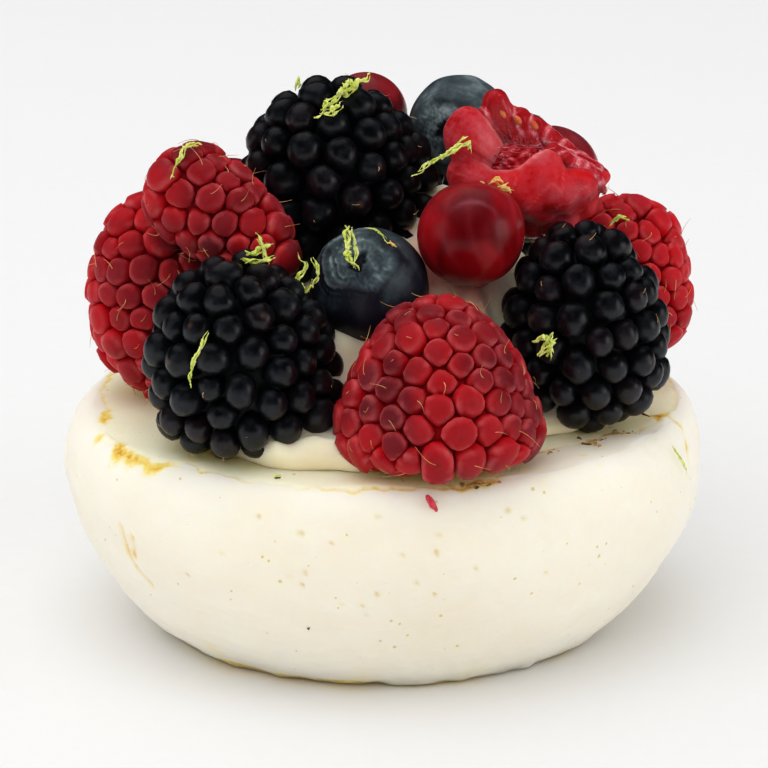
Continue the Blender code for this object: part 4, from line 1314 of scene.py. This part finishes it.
def lumps(places, sizes, seed, stretch=(1.0, 1.0, 1.0)):
    """Small uneven lumps: a ball of 5 rings of 8, each point pushed in or out by up to 30%."""
    rng = np.random.default_rng(seed)
    rays = ball_rays(5, 8)
    push = 1.0 + rng.uniform(-0.3, 0.3, (len(places), len(rays)))
    points = rays[None] * np.array(stretch) * (push * sizes[:, None] / 2)[..., None]
    return copies(places[:, None] + points, closed_faces(5, 8))


# Dark flecks on the top: place, the way each lies in degrees, and length, in mm
FLECKS = (
    (28.7, -7.9, 24.9, -50, 1.3), (21.6, -17.6, 24.8, -32, 1.1), (21.0, -15.6, 24.8, -40, 0.6),
    (-11.0, -29.3, 25.0, 20, 0.6), (23.6, -16.2, 24.8, 10, 0.7), (9.6, -31.3, 24.7, 60, 0.6),
    (10.8, -30.6, 24.8, 10, 0.5), (-9.6, -31.3, 9.9, 160, 0.6), (-7.9, -31.7, 9.3, 100, 0.4),
)
# Crumbs on the top: middle of a group, half its size, and how many
CRUMB_GROUPS = (
    (24.9, -13.9, 0.9, 9), (22.9, -16.6, 1.1, 8), (27.0, -14.0, 1.0, 5), (10.4, -30.8, 1.3, 14),
    (8.4, -31.4, 0.8, 5), (17.6, -20.0, 1.0, 4), (20.0, 24.0, 2.0, 8), (-14.0, 28.0, 2.4, 8),
    (29.0, 9.0, 1.6, 6),
)
# A bit of raspberry that slipped over the shoulder: its middle and half widths
SMEAR_MIDDLE = (4.9, -33.25, 23.6)
SMEAR_HALVES = (0.46, 0.40, 0.95)


def make_crumbs():
    """Browned crumbs in groups on the top, dark flecks of peel, and a smear of raspberry that has
    slipped over the shoulder."""
    rng = np.random.default_rng(90)
    groups = np.array(CRUMB_GROUPS)
    which = np.repeat(np.arange(len(groups)), groups[:, 3].astype(int))
    spot = groups[which, :2] + rng.normal(0.0, 0.6, (len(which), 2)) * groups[which, 2:3]
    radius = np.hypot(*spot.T)
    spot = spot * np.minimum(1.0, (RIM_RADIUS + 0.6) / radius)[:, None]
    place = np.column_stack((spot, floor_height(np.minimum(radius, RIM_RADIUS)) - 0.02))
    points, faces = lumps(place, rng.uniform(0.18, 0.55, len(place)), 92, (1.2, 1.2, 0.6))
    make_piece("browned_crumbs", points, faces, CRUMB)
    flecks = np.array(FLECKS)
    heading = np.radians(flecks[:, 3])
    ways = np.stack((np.cos(heading), np.sin(heading), 0.0 * heading), -1)
    start, lengths = flecks[:, :3] - ways * flecks[:, 4:] / 2, flecks[:, 4]
    points, faces = threads(start, ways, lengths, thickness=0.42, curl=0.15, seed=93)
    make_piece("dark_flecks", points, faces, FLECK)
    rows, sides = 7, 10
    rays = ball_rays(rows, sides)
    smear = rays * SMEAR_HALVES + SMEAR_MIDDLE - rays[:, 2:] * (0.5, 0.0, 0.0)
    smear = smear + 0.10 * ripples(smear, 0.9, 94)[:, None] * rays
    make_piece("raspberry_smear", smear, closed_faces(rows, sides), SMEAR)


# --- Table, light and camera ----------------------------------------------------------------

def make_floor():
    """A wide sheet of white paper under the pavlova, with a faint tooth."""
    material, tree = new_finish("white_paper")
    place = place_in_mm(tree)
    tooth = add(tree, "TexNoise", {"Scale": 0.5, "Detail": 3.0}, {"Vector": place})
    colour = add(tree, "ValToRGB", {"stops": ((0.3, "EAEAEA"), (0.7, "EBEBEB"))},
                 {"Fac": tooth})
    shader = add(tree, "BsdfPrincipled", {"Roughness": 0.9, "Specular IOR Level": 0.1},
                 {"Base Color": colour})
    add(tree, "OutputMaterial", {}, {"Surface": shader})
    mesh = bpy.data.meshes.new("floor")
    mesh.from_pydata([(-3, -3, 0), (3, -3, 0), (3, 3, 0), (-3, 3, 0)], [], [(0, 1, 2, 3)])
    mesh.materials.append(material)
    floor = bpy.data.objects.new("floor", mesh)
    bpy.context.scene.collection.objects.link(floor)


# A soft box: name, place and width in metres, power in watts, and whether gloss shows it
LAMPS = (
    ("overhead", (-0.20, 0.25, 1.00), 1.4, 2.8, True),
    ("overhead_fill", (-0.25, -0.40, 1.00), 1.4, 3.0, False),
    ("front", (-0.25, -1.00, 0.60), 0.9, 1.0, False),
    ("left_side", (-0.90, -0.30, 0.22), 0.6, 0.6, True),
    ("right_side", (0.90, -0.30, 0.22), 0.6, 1.7, True),
)
LIT_POINT = Vector((0, 0, 0.02))
TENT_STRENGTH = 0.57


def light_scene():
    """A white tent that gloss doesn't show, and round soft boxes that face the pavlova: a big one
    above and behind, fills above and in front, and two low ones at the sides."""
    scene = bpy.context.scene
    scene.world = world = bpy.data.worlds.new("tent")
    world.use_nodes = True
    background = world.node_tree.nodes["Background"]
    background.inputs["Color"].default_value = linear("FFFFFF")
    background.inputs["Strength"].default_value = TENT_STRENGTH
    world.cycles_visibility.glossy = False
    for name, place, width, power, glossy in LAMPS:
        lamp = bpy.data.lights.new(name, "AREA")
        lamp.shape = "DISK"
        lamp.size = width
        lamp.energy = power
        thing = bpy.data.objects.new(name, lamp)
        thing.location = place
        thing.rotation_euler = (LIT_POINT - Vector(place)).to_track_quat("-Z", "Y").to_euler()
        thing.visible_glossy = glossy
        scene.collection.objects.link(thing)
    scene.view_settings.view_transform = "Standard"
    scene.view_settings.look = "Medium High Contrast"


def set_camera():
    """The camera, 0.4 m away and 17.5 degrees above the table, looking at a point 26 mm up."""
    elevation, distance, target = math.radians(17.5), 0.400, Vector((0, 0, 0.026))
    camera = bpy.data.objects.new("camera", bpy.data.cameras.new("camera"))
    camera.data.sensor_width = 36.0
    camera.data.lens = 168.5
    camera.location = target + distance * Vector((0, -math.cos(elevation), math.sin(elevation)))
    camera.rotation_euler = (math.pi / 2 - elevation, 0, 0)
    bpy.context.scene.collection.objects.link(camera)
    bpy.context.scene.camera = camera


make_meringue()
make_cream()
make_drupelet_berries()
for make_part in (make_torn_skin, make_torn_flesh, make_pips):
    make_part(middle_of("raspberry_torn"))
for index, berry in enumerate(BLUEBERRIES):
    make_blueberry(berry, seed=100 + 10 * index)
for index, berry in enumerate(REDCURRANTS):
    make_redcurrant(berry, seed=140 + index)
make_shreds("lime_zest", SHREDS, ZEST, seed=200)
make_shreds("orange_zest", TUFT, ORANGE, seed=230)
make_crumbs()
make_floor()
light_scene()
set_camera()
